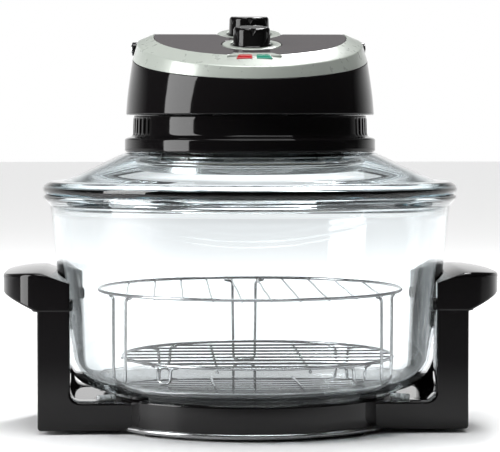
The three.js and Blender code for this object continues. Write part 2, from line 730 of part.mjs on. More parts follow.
// The half-loop handle: at rest it lies round the back of the head, and it swings up to carry the lid.
function carryingHandle() {
  const loop = [];
  const steps = 12;
  for (let step = 0; step <= steps; step += 1) {
    const angle = (step / steps) * Math.PI;
    loop.push(new THREE.Vector3(bailHalfWidth * Math.cos(angle), bailReach * Math.sin(angle), 0));
  }
  const [thick, tall] = bailSection.toArray();
  const bevel = 1.6;
  const section = outlineShape([
    [-tall / 2 + bevel, -thick / 2], [tall / 2 - bevel, -thick / 2], [tall / 2, -thick / 2 + bevel],
    [tall / 2, thick / 2 - bevel], [tall / 2 - bevel, thick / 2], [bevel - tall / 2, thick / 2],
    [-tall / 2, thick / 2 - bevel], [-tall / 2, bevel - thick / 2],
  ]);
  const arch = new THREE.ExtrudeGeometry(section, {
    steps: 24, extrudePath: new THREE.CatmullRomCurve3(loop), bevelEnabled: false,
  });
  const lugs = sides.map(({ sign }) =>
    cylinder(lugRadius, 0.2 - thick / 2, thick / 2).rotateY(Math.PI / 2).translate(sign * bailHalfWidth, 0, 0));
  const bore = cylinder(pinRadius + gap, -handleReach, handleReach, 20).rotateY(Math.PI / 2);
  return cut(joined(arch, ...lugs), bore).rotateX(bailRise);
}

function buildHead(lid) {
  const head = groupAt(lid, 0, 0, lidRise + gap);
  const controls = [
    { name: 'timer', control: timer, group: controlGroup(head, timer) },
    { name: 'thermostat', control: thermostat, group: controlGroup(head, thermostat) },
  ];
  piece(head, 'lower_housing', lowerHousing(), blackGloss);
  piece(head, 'upper_shell', upperShell(), blackGloss);
  piece(head, 'trim_ring', trimRing(), silverPlastic);
  piece(head, 'control_panel', controlPanel(controls), blackGloss);
  controls.forEach(({ name, control, group }) => buildControl(head, name, control, group));
  [{ name: 'red_lens', sign: -1, material: redLens }, { name: 'green_lens', sign: 1, material: greenLens }]
    .forEach(({ name, sign, material }) => {
      const column = lensOutline(sign, 0.2, 0, panelEdge + 20);
      piece(head, name, common(column, trimBody()), material);
    });
  buildFan(head);
  buildHeater(head);

  const pivot = groupAt(head, 0, bailPivotY, bailPivotHeight);
  piece(pivot, 'safety_handle', carryingHandle(), blackGloss);
  const trimAtPivot = Math.sqrt((shellTopRadius - 0.4) ** 2 - (bailPivotY - pinRadius) ** 2);
  for (const { name, sign } of sides) {
    const pin = cylinder(pinRadius, trimAtPivot, bailHalfWidth + bailSection.x / 2, 16).rotateY(Math.PI / 2);
    piece(groupAt(pivot, 0, 0, 0), `handle_pin_${name}`, pin, sheetSteel).rotation.z = sign > 0 ? 0 : Math.PI;
  }
  const switchTop = 72;
  const switchX = -73;
  const switchBody = block([-9, -5, -14], [9, 5, 0]).translate(switchX, bailPivotY, switchTop);
  piece(head, 'microswitch', switchBody, darkPlastic);
  const plunger = block([-5, -2, gap], [-1, 2, 5]).translate(switchX, bailPivotY, switchTop);
  piece(head, 'switch_plunger', plunger, silverPlastic);

  const inletRear = shellBaseRadius + 0.5;
  const middle = (inletLow + inletHigh) / 2;
  const socket = block([-10.5, inletRear - 13, middle - 7], [10.5, inletRear + 1, middle + 7]);
  const pins = [-6, 0, 6].map((x) =>
    block([x - 1, inletRear - 14, middle - 4.5], [x + 1, inletRear - 3, middle - 1]));
  const shellBlock = block([-inletHalfWidth, inletRear - 22, inletLow], [inletHalfWidth, inletRear, inletHigh]);
  piece(head, 'power_inlet', joined(cut(shellBlock, socket), ...pins), darkPlastic);
}

buildStand();
buildBowlAndRacks();
const lid = groupAt(oven, 0, 0, bowlBase + bowlHeight + gap + 0.1);
piece(lid, 'lid_glass', lidGlass(), glass);
buildHead(lid);
oven.updateMatrixWorld(true);

export default oven;
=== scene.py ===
"""Tabletop halogen oven: glass bowl on a two-handled stand, glass lid with a round power head, wire racks.

Metres, +Z up, -Y is the front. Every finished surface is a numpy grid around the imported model's bodies.
"""

import json
import logging
from collections.abc import Callable
from dataclasses import dataclass, field
from enum import Enum
from math import atan, cos, pi, radians, sin, sqrt, tan

import bpy
import numpy as np
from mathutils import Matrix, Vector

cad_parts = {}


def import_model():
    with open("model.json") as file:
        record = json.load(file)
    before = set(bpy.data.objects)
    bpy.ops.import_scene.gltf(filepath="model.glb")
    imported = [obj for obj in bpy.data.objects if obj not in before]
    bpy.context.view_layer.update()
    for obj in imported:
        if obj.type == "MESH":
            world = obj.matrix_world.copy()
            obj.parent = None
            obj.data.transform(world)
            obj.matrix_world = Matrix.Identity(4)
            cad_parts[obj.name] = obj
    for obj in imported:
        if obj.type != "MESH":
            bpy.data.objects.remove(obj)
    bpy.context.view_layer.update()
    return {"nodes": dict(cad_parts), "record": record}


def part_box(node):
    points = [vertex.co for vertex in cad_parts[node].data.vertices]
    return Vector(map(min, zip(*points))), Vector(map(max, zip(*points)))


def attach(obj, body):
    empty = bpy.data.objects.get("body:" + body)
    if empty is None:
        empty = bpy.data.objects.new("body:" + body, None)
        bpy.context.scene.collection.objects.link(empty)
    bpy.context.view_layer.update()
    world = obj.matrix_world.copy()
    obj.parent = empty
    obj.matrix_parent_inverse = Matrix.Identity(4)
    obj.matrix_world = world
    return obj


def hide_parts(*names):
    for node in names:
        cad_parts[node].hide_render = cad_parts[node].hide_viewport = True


LOG = logging.getLogger("oven")
MM = 0.001
Array = np.ndarray


class Body(Enum):
    """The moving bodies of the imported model."""

    STAND = "stand"
    BOWL = "bowl"
    HIGH_RACK = "high_rack"
    LOW_RACK = "low_rack"
    LID = "lid"
    FAN = "fan_rotor"
    TIMER = "timer_dial"
    THERMOSTAT = "thermostat_dial"
    HANDLE = "carry_handle"


# ---------------------------------------------------------------------------------------- finishes


@dataclass(frozen=True)
class Finish:
    """A procedural finish: a base colour broken up by fine noise in colour, roughness and bump."""

    name: str
    slot: str
    color: tuple[float, float, float]
    roughness: float
    metallic: float = 0.0
    coat: float = 0.0
    transmission: float = 0.0
    ior: float = 1.46
    roughness_spread: float = 0.05
    color_spread: float = 0.1
    grain: float = 90.0
    bump: float = 0.02
    stretch: tuple[float, float, float] = (1.0, 1.0, 1.0)
    depth_color: tuple[float, float, float] = (1.0, 1.0, 1.0)
    depth_density: float = 0.0

    def material(self) -> bpy.types.Material:
        """Returns the finish's material, made once and shared by all its pieces."""
        found = bpy.data.materials.get(f"{self.name}_finish")
        return found if found else self._build()

    def _build(self) -> bpy.types.Material:
        """Builds the node tree: object coordinates, two noises, a colour ramp, a roughness ramp and a bump."""
        material = bpy.data.materials.new(f"{self.name}_finish")
        material.use_nodes = True
        tree = material.node_tree
        nodes, links = tree.nodes, tree.links
        shader = nodes["Principled BSDF"]
        shader.inputs["Metallic"].default_value = self.metallic
        shader.inputs["IOR"].default_value = self.ior
        shader.inputs["Coat Weight"].default_value = self.coat
        shader.inputs["Coat Roughness"].default_value = 0.04
        shader.inputs["Transmission Weight"].default_value = self.transmission
        place = nodes.new("ShaderNodeTexCoord")
        mapping = nodes.new("ShaderNodeMapping")
        mapping.inputs["Scale"].default_value = self.stretch
        links.new(place.outputs["Object"], mapping.inputs["Vector"])
        broad = self._noise(tree, mapping, self.grain, 4.0)
        fine = self._noise(tree, mapping, self.grain * 14.0, 2.0)
        tint = nodes.new("ShaderNodeValToRGB")
        low = 1.0 - self.color_spread
        tint.color_ramp.elements[0].color = (*[channel * low for channel in self.color], 1.0)
        tint.color_ramp.elements[1].color = (*self.color, 1.0)
        links.new(broad.outputs["Fac"], tint.inputs["Fac"])
        links.new(tint.outputs["Color"], shader.inputs["Base Color"])
        rough = nodes.new("ShaderNodeMapRange")
        rough.inputs["To Min"].default_value = max(0.0, self.roughness - self.roughness_spread / 2)
        rough.inputs["To Max"].default_value = self.roughness + self.roughness_spread / 2
        links.new(broad.outputs["Fac"], rough.inputs["Value"])
        links.new(rough.outputs["Result"], shader.inputs["Roughness"])
        if self.depth_density > 0:
            depth = nodes.new("ShaderNodeVolumeAbsorption")
            depth.inputs["Color"].default_value = (*self.depth_color, 1.0)
            depth.inputs["Density"].default_value = self.depth_density
            links.new(depth.outputs["Volume"], nodes["Material Output"].inputs["Volume"])
        if self.bump > 0:
            bump = nodes.new("ShaderNodeBump")
            bump.inputs["Strength"].default_value = self.bump
            bump.inputs["Distance"].default_value = 0.1 * MM
            links.new(fine.outputs["Fac"], bump.inputs["Height"])
            links.new(bump.outputs["Normal"], shader.inputs["Normal"])
        return material

    def _noise(self, tree: bpy.types.NodeTree, mapping: bpy.types.Node, scale: float,
               detail: float) -> bpy.types.Node:
        """Adds one noise texture.

        Args:
            tree: the material's node tree.
            mapping: the node that gives the noise its place.
            scale: cells per metre.
            detail: octaves.

        Returns:
            The noise node.
        """
        noise = tree.nodes.new("ShaderNodeTexNoise")
        noise.inputs["Scale"].default_value = scale
        noise.inputs["Detail"].default_value = detail
        tree.links.new(mapping.outputs["Vector"], noise.inputs["Vector"])
        return noise


PIANO_BLACK = Finish("piano_black", "black_gloss", (0.0045, 0.004, 0.0043), 0.06, coat=0.1, ior=1.3,
                     roughness_spread=0.03)
PANEL_BLACK = Finish("panel_black", "panel_gloss", (0.085, 0.075, 0.079), 0.12, coat=0.8, roughness_spread=0.05)
SATIN_SILVER = Finish("satin_silver", "silver_plastic", (0.37, 0.40, 0.365), 0.28, metallic=0.15, coat=0.4, grain=160.0,
                      color_spread=0.06, bump=0.008)
RUBBER = Finish("moulded_rubber", "black_rubber", (0.012, 0.012, 0.013), 0.42, grain=300.0, color_spread=0.3,
                bump=0.15)
SILICONE = Finish("soft_silicone", "pale_silicone", (0.80, 0.82, 0.83), 0.32, bump=0.05)
GLASS = Finish("pressed_glass", "clear_glass", (0.985, 0.995, 1.0), 0.004, transmission=1.0, ior=1.47,
               roughness_spread=0.004, color_spread=0.012, grain=12.0, bump=0.0,
               depth_color=(0.45, 0.85, 0.97), depth_density=7.0)
CHROME = Finish("plated_wire", "chrome_wire", (0.50, 0.505, 0.51), 0.14, metallic=1.0, roughness_spread=0.1,
                grain=400.0, color_spread=0.2, bump=0.03)
# Painted highlight: the plinth's flange bead is black gloss (its slot), but this bright grey metal paints the bright
# line of light along it.
PAINTED_HIGHLIGHT_BEAD = Finish("bead_painted_highlight", "black_gloss", (0.34, 0.34, 0.345), 0.16, metallic=0.9, coat=0.4, grain=200.0)
STEEL = Finish("bright_sheet", "sheet_steel", (0.60, 0.605, 0.60), 0.2, metallic=1.0, roughness_spread=0.1,
               stretch=(1.0, 1.0, 14.0), bump=0.05)
QUARTZ = Finish("milky_quartz", "quartz", (0.86, 0.80, 0.68), 0.25, transmission=0.35, bump=0.04)
RED = Finish("red_window", "red_lens", (0.36, 0.002, 0.006), 0.12, coat=0.5)
GREEN = Finish("green_window", "green_lens", (0.0, 0.19, 0.12), 0.12, coat=0.5)
GREY_PLASTIC = Finish("grained_plastic", "dark_plastic", (0.02, 0.02, 0.021), 0.4, bump=0.2, grain=500.0)


# ---------------------------------------------------------------------------------------- surfaces


def rounded(points: list[tuple[float, float]], radius: float | list[float], closed: bool = True,
            steps: int = 5) -> Array:
    """Rounds the corners of an outline: each corner gives way to a quadratic arc between two cut points.

    Args:
        points: corner points in order, in millimetres.
        radius: how far from each corner the arc starts, one value or one for each corner.
        closed: whether the outline closes on itself; the ends of an open one stay sharp.
        steps: segments in each arc.

    Returns:
        The rounded outline, in metres.
    """
    corner = np.array(points, float) * MM
    count = len(corner)
    reach = np.full(count, radius, float) * MM if np.isscalar(radius) else np.array(radius, float) * MM
    before = np.roll(corner, 1, axis=0) - corner
    after = np.roll(corner, -1, axis=0) - corner
    room = np.minimum(np.linalg.norm(before, axis=1), np.linalg.norm(after, axis=1)) * 0.48
    reach = np.minimum(reach, room)
    if not closed:
        reach[[0, -1]] = 0.0
    start = corner + before / np.linalg.norm(before, axis=1)[:, None] * reach[:, None]
    end = corner + after / np.linalg.norm(after, axis=1)[:, None] * reach[:, None]
    share = np.linspace(0.0, 1.0, steps + 1)[None, :, None]
    arcs = (1 - share) ** 2 * start[:, None] + 2 * share * (1 - share) * corner[:, None] + share ** 2 * end[:, None]
    return np.concatenate([arc if cut > 0 else arc[:1] for arc, cut in zip(arcs, reach)])


def dense(outline: Array, step: float, closed: bool = True) -> Array:
    """Adds points along an outline's long edges.

    Args:
        outline: points in order, in metres.
        step: greatest distance between points, in metres.
        closed: whether the last point joins the first.

    Returns:
        The outline with its long edges divided evenly.
    """
    ends = np.roll(outline, -1, axis=0) if closed else np.concatenate([outline[1:], outline[-1:]])
    pieces = [outline[:0]]
    for start, end in zip(outline, ends):
        count = max(1, int(np.ceil(np.linalg.norm(end - start) / step)))
        pieces.append(start + (end - start) * (np.arange(count) / count)[:, None])
    return np.concatenate(pieces)


def grid_faces(rows: int, columns: int, wrap_rows: bool, wrap_columns: bool) -> Array:
    """Numbers the corners of the quads of a grid whose point (i, j) has index i * columns + j.

    Args:
        rows: points along the first parameter.
        columns: points along the second.
        wrap_rows: whether the last row joins the first.
        wrap_columns: whether the last column joins the first.

    Returns:
        An array of quads.
    """
    down = np.arange(rows if wrap_rows else rows - 1)
    along = np.arange(columns if wrap_columns else columns - 1)
    first, second = np.meshgrid(down, along, indexing="ij")
    below, beside = (first + 1) % rows, (second + 1) % columns
    quads = np.stack([first * columns + second, first * columns + beside,
                      below * columns + beside, below * columns + second], axis=-1)
    return quads.reshape(-1, 4)


def outward(points: Array, quads: Array) -> Array:
    """Returns the quads wound so that the volume they enclose, summed from two tetrahedra each, is positive.

    Args:
        points: the corners of a closed surface.
        quads: four indices into the points for each face.

    Returns:
        The quads, all reversed where the volume was negative.
    """
    a, b, c, d = (points[quads[:, corner]] - points.mean(axis=0) for corner in range(4))
    volume = (np.cross(a, b) * c).sum() + (np.cross(a, c) * d).sum()
    return quads[:, ::-1] if volume < 0 else quads


def polar(radius: float, degrees: float) -> tuple[float, float]:
    """Returns the x and y of a point at a radius and an angle from +X."""
    return radius * cos(radians(degrees)), radius * sin(radians(degrees))


def turn_z(points: Array, degrees: float) -> Array:
    """Returns points turned about Z by an angle in degrees."""
    c, s = cos(radians(degrees)), sin(radians(degrees))
    return points @ np.array([[c, s, 0], [-s, c, 0], [0, 0, 1]])


def lean(points: Array, degrees: float) -> Array:
    """Returns points turned about X, so that +Z leans towards -Y by an angle in degrees."""
    c, s = cos(radians(degrees)), sin(radians(degrees))
    return points @ np.array([[1, 0, 0], [0, c, s], [0, -s, c]])


@dataclass
class Surface:
    """Collects closed grids and turns them into one mesh object with outward faces."""

    vertices: list[Array] = field(default_factory=list)
    quads: list[Array] = field(default_factory=list)
    count: int = 0

    def grid(self, points: Array, wrap_rows: bool = False, wrap_columns: bool = True) -> "Surface":
        """Adds a grid of points, turned so that its enclosed volume is positive.

        Args:
            points: array of rows by columns by three, in metres.
            wrap_rows: whether the last row joins the first.
            wrap_columns: whether the last column joins the first.

        Returns:
            This surface.
        """
        rows, columns = points.shape[:2]
        flat = points.reshape(-1, 3)
        quads = outward(flat, grid_faces(rows, columns, wrap_rows, wrap_columns))
        self.vertices.append(flat)
        self.quads.append(quads + self.count)
        self.count += len(flat)
        return self

    def turned(self, outline: Array, segments: int = 160, at: tuple[float, float, float] = (0, 0, 0)) -> "Surface":
        """Adds a solid of revolution: radius times cosine and sine of the angle, and the outline's height.

        Args:
            outline: (radius, height) points; it starts and ends on the axis, or closes on itself.
            segments: steps round the axis.
            at: where the axis foot is.

        Returns:
            This surface.
        """
        angle = np.arange(segments) * (2 * pi / segments)
        radius, height = outline[:, 0][:, None], outline[:, 1][:, None]
        points = np.stack([radius * np.cos(angle), radius * np.sin(angle), height + 0 * angle], axis=-1)
        on_axis = outline[0, 0] < 1e-9 and outline[-1, 0] < 1e-9
        return self.grid(points + np.array(at), wrap_rows=not on_axis)

    def carried(self, path: Array, section: Array, closed: bool = False, round_ends: bool = False) -> "Surface":
        """Carries a section along a path: point plus section x on the side vector and y on the up vector.

        Args:
            path: points of the path.
            section: closed outline in the plane across the path.
            closed: whether the path closes on itself.
            round_ends: whether open ends are domed instead of flat.

        Returns:
            This surface.
        """
        tangent = (np.roll(path, -1, axis=0) - np.roll(path, 1, axis=0)) if closed else np.gradient(path, axis=0)
        tangent = tangent / np.linalg.norm(tangent, axis=1)[:, None]
        guide = np.array([0.0, 0.0, 1.0])
        if np.abs(tangent @ guide).max() > 0.98:
            guide = np.array([0.31, 0.95, 0.0]) / np.linalg.norm([0.31, 0.95])
        side = np.cross(tangent, guide)
        side = side / np.linalg.norm(side, axis=1)[:, None]
        up = np.cross(side, tangent)
        scale, shift = np.ones(len(path)), np.zeros(len(path))
        rows = np.arange(len(path))
        if not closed:
            size = np.abs(section).max() if round_ends else 0.0
            bend = np.radians([90, 60, 30]) if round_ends else np.radians([90.0])
            scale = np.concatenate([np.cos(bend), scale, np.cos(bend)[::-1]])
            shift = np.concatenate([-size * np.sin(bend), shift, size * np.sin(bend)[::-1]])
            rows = np.concatenate([np.zeros(len(bend), int), rows, np.full(len(bend), len(path) - 1)])
        middle = path[rows] + tangent[rows] * shift[:, None]
        across = side[rows][:, None] * section[None, :, :1] + up[rows][:, None] * section[None, :, 1:]
        return self.grid(middle[:, None] + across * scale[:, None, None], wrap_rows=closed)

    def wire(self, path: Array, radius: float, closed: bool = False, sides: int = 10) -> "Surface":
        """Adds a round wire along a path, domed at open ends."""
        angle = np.arange(sides) * (2 * pi / sides)
        return self.carried(path, radius * np.stack([np.cos(angle), np.sin(angle)], axis=-1), closed, True)

    def add(self, other: "Surface") -> "Surface":
        """Returns this surface with another's grids added."""
        self.vertices += other.vertices
        self.quads += [quads + self.count for quads in other.quads]
        self.count += other.count
        return self

    def slab(self, outline: Array, low: float, high: float, edge: float = 0.8 * MM, steps: int = 4,
             centre: Array | None = None) -> "Surface":
        """Adds a prism with rounded rims: the outline shrinks by a quarter circle's depth at both ends.

        Args:
            outline: closed outline in x and y, in metres; it is seen whole from its centre.
            low: height of the lower face.
            high: height of the upper face.
            edge: radius of the rims.
            steps: segments in each rim.
            centre: the point that both faces close on, by default the middle of the outline's box.

        Returns:
            This surface.
        """
        bend = np.linspace(0, pi / 2, steps + 1)
        flat = [edge * 1.3]
        inset = np.concatenate([flat, edge * (1 - np.sin(bend)), edge * (1 - np.cos(bend)), flat])
        height = np.concatenate([[low], low + edge * (1 - np.cos(bend)), high - edge * (1 - np.sin(bend)), [high]])
        before, after = np.roll(outline, 1, axis=0), np.roll(outline, -1, axis=0)
        along = after - before
        normal = np.stack([along[:, 1], -along[:, 0]], axis=-1)
        normal = normal / np.linalg.norm(normal, axis=1)[:, None]
        area = (outline[:, 0] * after[:, 1] - after[:, 0] * outline[:, 1]).sum()
        normal = normal if area > 0 else -normal
        rings = outline[None] - normal[None] * inset[:, None, None]
        if centre is None:
            centre = (outline.max(axis=0) + outline.min(axis=0)) / 2
        rings = np.concatenate([np.broadcast_to(centre, rings[:1].shape), rings,
                                np.broadcast_to(centre, rings[:1].shape)])
        height = np.concatenate([[low], height, [high]])
        points = np.concatenate([rings, np.broadcast_to(height[:, None, None], rings[..., :1].shape)], axis=-1)
        return self.grid(points)

    def moved(self, change: Callable[[Array], Array]) -> "Surface":
        """Applies a function to all the points, and winds the faces outwards again if it mirrored them.

        Args:
            change: takes an array of points and returns their new places.

        Returns:
            This surface.
        """
        self.vertices = [change(part) for part in self.vertices]
        first = 0
        for index, part in enumerate(self.vertices):
            self.quads[index] = outward(part, self.quads[index] - first) + first
            first += len(part)
        return self

    def piece(self, name: str, finish: Finish, body: Body, *nodes: str, sharp: float = 38.0) -> bpy.types.Object:
        """Makes the mesh object, dresses it, and seats it on its body in place of its CAD nodes.

        Args:
            name: the piece's name.
            finish: what it is made of.
            body: the body that it moves with.
            nodes: the CAD nodes that it stands for.
            sharp: edges that turn by more than this many degrees stay crisp.

        Returns:
            The new object.
        """
        points = np.concatenate(self.vertices)
        quads = np.concatenate(self.quads)
        merged, index = np.unique(np.round(points, 8), axis=0, return_inverse=True)
        faces = index.reshape(-1)[quads]
        kept = [tuple(dict.fromkeys(face)) for face in faces.tolist()]
        mesh = bpy.data.meshes.new(name)
        mesh.from_pydata(merged, [], [face for face in kept if len(face) > 2])
        mesh.validate()
        mesh.shade_smooth()
        mesh.set_sharp_from_angle(angle=radians(sharp))
        mesh.materials.append(finish.material())
        thing = bpy.data.objects.new(name, mesh)
        bpy.context.scene.collection.objects.link(thing)
        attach(thing, body.value)
        if nodes:
            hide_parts(*nodes)
        LOG.info("%s: %d faces, for %s", name, len(mesh.polygons), ", ".join(nodes) or "detail")
        return thing


def along_depth(points: Array) -> Array:
    """Returns points whose outline was drawn in x and height, stood up so that the prism runs along Y."""
    return np.stack([points[:, 0], -points[:, 2], points[:, 1]], axis=-1)


def box_outline(low_x: float, low_y: float, high_x: float, high_y: float, corner: float = 2.0) -> Array:
    """Returns a rectangle with rounded corners, in metres, from sizes in millimetres."""
    return rounded([(low_x, low_y), (high_x, low_y), (high_x, high_y), (low_x, high_y)], corner)


def bezier(start: Array, first: Array, second: Array, end: Array, steps: int) -> Array:
    """Returns points of a cubic curve: the four control points weighted by the Bernstein polynomials."""
    t = np.linspace(0, 1, steps)[:, None]
    return (1 - t) ** 3 * start + 3 * t * (1 - t) ** 2 * first + 3 * t * t * (1 - t) * second + t ** 3 * end


# ---------------------------------------------------------------------------------------- stand


@dataclass
class Stand:
    """Round plinth with two arms, side frames with two posts each, hooded handles, pads, pegs and feet."""

    plinth_radius: float = 120.0
    plinth_top: float = 27.7
    arm_top: float = 24.5
    arm_half: float = 70.0
    arm_seam: float = 149.0
    beam_start: float = 92.0
    post_inner: float = 142.0
    post_outer: float = 167.0
    post_depth: float = 25.0
    post_top: float = 117.0
    low_edge: float = 3.0
    window_top: float = 76.0
    bowl_room: float = 154.8
    handle_reach: float = 195.4
    handle_top: float = 127.0
    skirt_low: float = 95.0
    crown: float = 4.0

    def build(self) -> None:
        """Builds every piece of the stand."""
        self.plinth()
        self.arms()
        for side, turn in (("left", 180.0), ("right", 0.0)):
            self.side_frame(side, turn)
            self.handle(side, turn)
        self.rubber_pieces()

    def plinth(self) -> None:
        """Turns the round plinth: flat top, rounded shoulder, straight wall and a proud round-edged flange; the flange
        is black gloss, made in a bright grey metal as a painted highlight.
        """
        radius, top = self.plinth_radius, self.plinth_top
        bead = rounded([(radius - 4, 2.2), (radius - 1.6, 2.0), (radius, 3.4), (radius - 0.2, 5.4),
                        (radius - 1.8, 6.4), (radius - 4, 6.4)], [0.4, 1.2, 1.4, 1.4, 0.8, 0.4])
        # Painted highlight: the flange bead gets a bright grey metal in place of its black gloss, to show the bright
        # line along it.
        Surface().turned(bead, 240).piece("plinth_bead_painted_highlight", PAINTED_HIGHLIGHT_BEAD, Body.STAND)
        outline = rounded([(0, top - 2.5), (radius - 25, top - 2.5), (radius - 25, 2), (radius - 2.4, 2),
                           (radius - 2.3, 5.0), (radius - 2.3, 6.6), (radius - 2.3, 7.0), (radius - 2.4, top - 1.5),
                           (radius - 3.6, top), (0, top)],
                          [0, 1, 1, 1.4, 2.2, 1.4, 0.8, 3, 3, 0], closed=False)
        Surface().turned(outline, 240).piece("plinth_disc", PIANO_BLACK, Body.STAND, "base_plinth")

    def arms(self) -> None:
        """Makes the two flat arms that run out of the plinth under the side frames."""
        surface = Surface()
        for sign in (-1, 1):
            near, far = sorted((sign * 90.0, sign * self.arm_seam))
            half = self.arm_half - 1.0
            outline = box_outline(near, -half, far, half, 2.0)
            surface.slab(outline, (self.low_edge + 0.5) * MM, (self.arm_top - 0.2) * MM, 1.0 * MM)
        surface.piece("base_arms", PIANO_BLACK, Body.STAND)

    def side_frame(self, side: str, turn: float) -> None:
        """Makes one side frame: two L-shaped posts with a swept inner corner, a sill and the web between them.

        Args:
            side: left or right.
            turn: angle about Z from the right side, in degrees.
        """
        seat = self.arm_top + 0.35
        outline = rounded([(self.beam_start, self.low_edge), (self.post_outer, self.low_edge),
                           (self.post_outer, self.post_top), (self.post_inner, self.post_top),
                           (self.post_inner, seat), (self.beam_start, seat)],
                          [3.2, 3.2, 3.2, 3.2, 9.0, 3.2], steps=8)
        centre = np.array([self.post_inner + 10.0, self.low_edge + 9.0]) * MM
        inner = self.arm_half - self.post_depth
        surface = Surface()
        face = self.arm_half - 0.4
        for low, high in ((-face, -inner), (inner, face)):
            post = Surface().slab(dense(outline, 6 * MM), low * MM, high * MM, 1.6 * MM, centre=centre)
            surface.add(post.moved(along_depth).moved(self.clear_of_bowl))
        sill = box_outline(self.arm_seam + 0.8, self.low_edge + 0.5, self.post_outer - 0.6, self.arm_top, 1.5)
        surface.add(Surface().slab(sill, -(inner + 1) * MM, (inner + 1) * MM).moved(along_depth))
        angle = np.radians(np.linspace(-16.6, 16.6, 24))
        path = (self.bowl_room + 2.2) * MM * np.stack([np.cos(angle), np.sin(angle), 0 * angle], axis=-1)
        middle = (self.window_top + self.post_top) / 2
        path[:, 2] = middle * MM
        half = (self.post_top - self.window_top) / 2
        surface.carried(path, box_outline(-2, -half, 2, half, 1.2))
        surface.moved(lambda points: turn_z(points, turn))
        surface.piece(f"{side}_frame_posts", PIANO_BLACK, Body.STAND, f"{side}_side_frame")

    def clear_of_bowl(self, points: Array) -> Array:
        """Returns points of the right-hand posts kept off the bowl's flared wall."""
        moved = np.array(points)
        x, y, z = points.T / MM
        room = 146.6 + np.maximum(z - 59.0, 0) * 0.12
        limit = np.sqrt(np.maximum(room ** 2 - y ** 2, 0))
        moved[:, 0] = np.where(z > 45, np.maximum(x, limit), x) * MM
        return moved

    def handle_plan(self) -> Array:
        """Returns the handle's plan: an arc round the bowl, straight flanks and a bowed outer edge, in metres."""
        half = self.arm_half
        shoulder, tip, reach = self.post_outer - 2, half / 3, self.handle_reach
        y = np.linspace(half - 0.5, 0.5 - half, 41)
        inner = np.stack([np.maximum(self.post_inner, np.sqrt(self.bowl_room ** 2 - y ** 2)), y], axis=-1)
        front = bezier(np.array([shoulder, -half]), np.array([shoulder + 16, -half]),
                       np.array([reach, -2.1 * tip]), np.array([reach, -tip]), 28)
        rear = front[::-1] * np.array([1, -1])
        flank = np.array([[self.post_inner + 1, -half], [shoulder - 12, -half]])
        plan = np.concatenate([inner, flank, front, rear, flank[::-1] * np.array([1, -1])])
        return dense(plan * MM, 2.5 * MM)

    def handle(self, side: str, turn: float) -> None:
        """Makes one hooded handle: the plan rises as a wall to a rounded rim, then closes over the top.

        The top is the lower of a flat and a slope next to the bowl; the skirt's edge climbs towards the tip.

        Args:
            side: left or right.
            turn: angle about Z from the right side, in degrees.
        """
        plan = self.handle_plan()
        x = plan[:, 0] / MM
        climb = (x - self.post_outer) * 0.46
        low = self.skirt_low + np.maximum(climb, 0)
        low = low * MM
        centre = np.array([(self.post_outer + 8) * MM, 0.0])
        wall, edge, top = 3.5 * MM, 2.2 * MM, self.handle_top * MM
        hollow_x = np.maximum(plan[:, 0] - wall, (self.post_outer + 3.8) * MM)
        hollow = np.stack([hollow_x, plan[:, 1] * 0.95], axis=-1)
        toward = centre - plan
        inward = toward / np.linalg.norm(toward, axis=1)[:, None]
        ceiling = top - wall
        rows = [(np.broadcast_to(centre, plan.shape), np.full(len(x), ceiling)), (hollow, np.full(len(x), ceiling)),
                (hollow, low + 0.6 * MM), (plan + inward * 0.8 * MM, low), (plan, low + 0.8 * MM)]
        rows.append((plan, low + 1.6 * MM))
        for share in (0.3, 0.65, 0.94):
            rows.append((plan, low + (top - edge - low) * share))
        for bend in np.linspace(0, pi / 2, 7):
            inset = edge * (1 - cos(bend))
            rows.append((plan + inward * inset, np.full(len(x), top - edge * (1 - sin(bend)))))
        rim = plan + inward * edge
        for share in np.linspace(0.08, 1.0, 16):
            rows.append((rim + (centre - rim) * share, np.full(len(x), top)))
        slope = 0.36
        start = (self.handle_top - 7.8) * MM - self.post_inner * MM * slope
        points = []
        for flat, height in rows:
            out, across = np.maximum(flat[:, 0] / MM - self.post_outer, 0) / 28.0, flat[:, 1] / MM / self.arm_half
            crown = (self.crown * out ** 2 + 0.6 * self.crown * across ** 2) * MM
            height = np.where(height > (self.post_top + 2) * MM, height - crown, height)
            limit = start + flat[:, 0] * slope - 0.6 * self.crown * across ** 2 * MM
            blend = 0.8 * MM
            gap = limit - height
            soft = 0.5 * (limit + height - np.sqrt(gap * gap + blend * blend))
            points.append(np.column_stack([flat, np.where(height > (self.post_top - 1) * MM, soft, height)]))
        surface = Surface().grid(np.stack(points))
        surface.moved(lambda part: turn_z(part, turn))
        surface.piece(f"{side}_handle_hood", PIANO_BLACK, Body.STAND, f"{side}_handle", sharp=50)

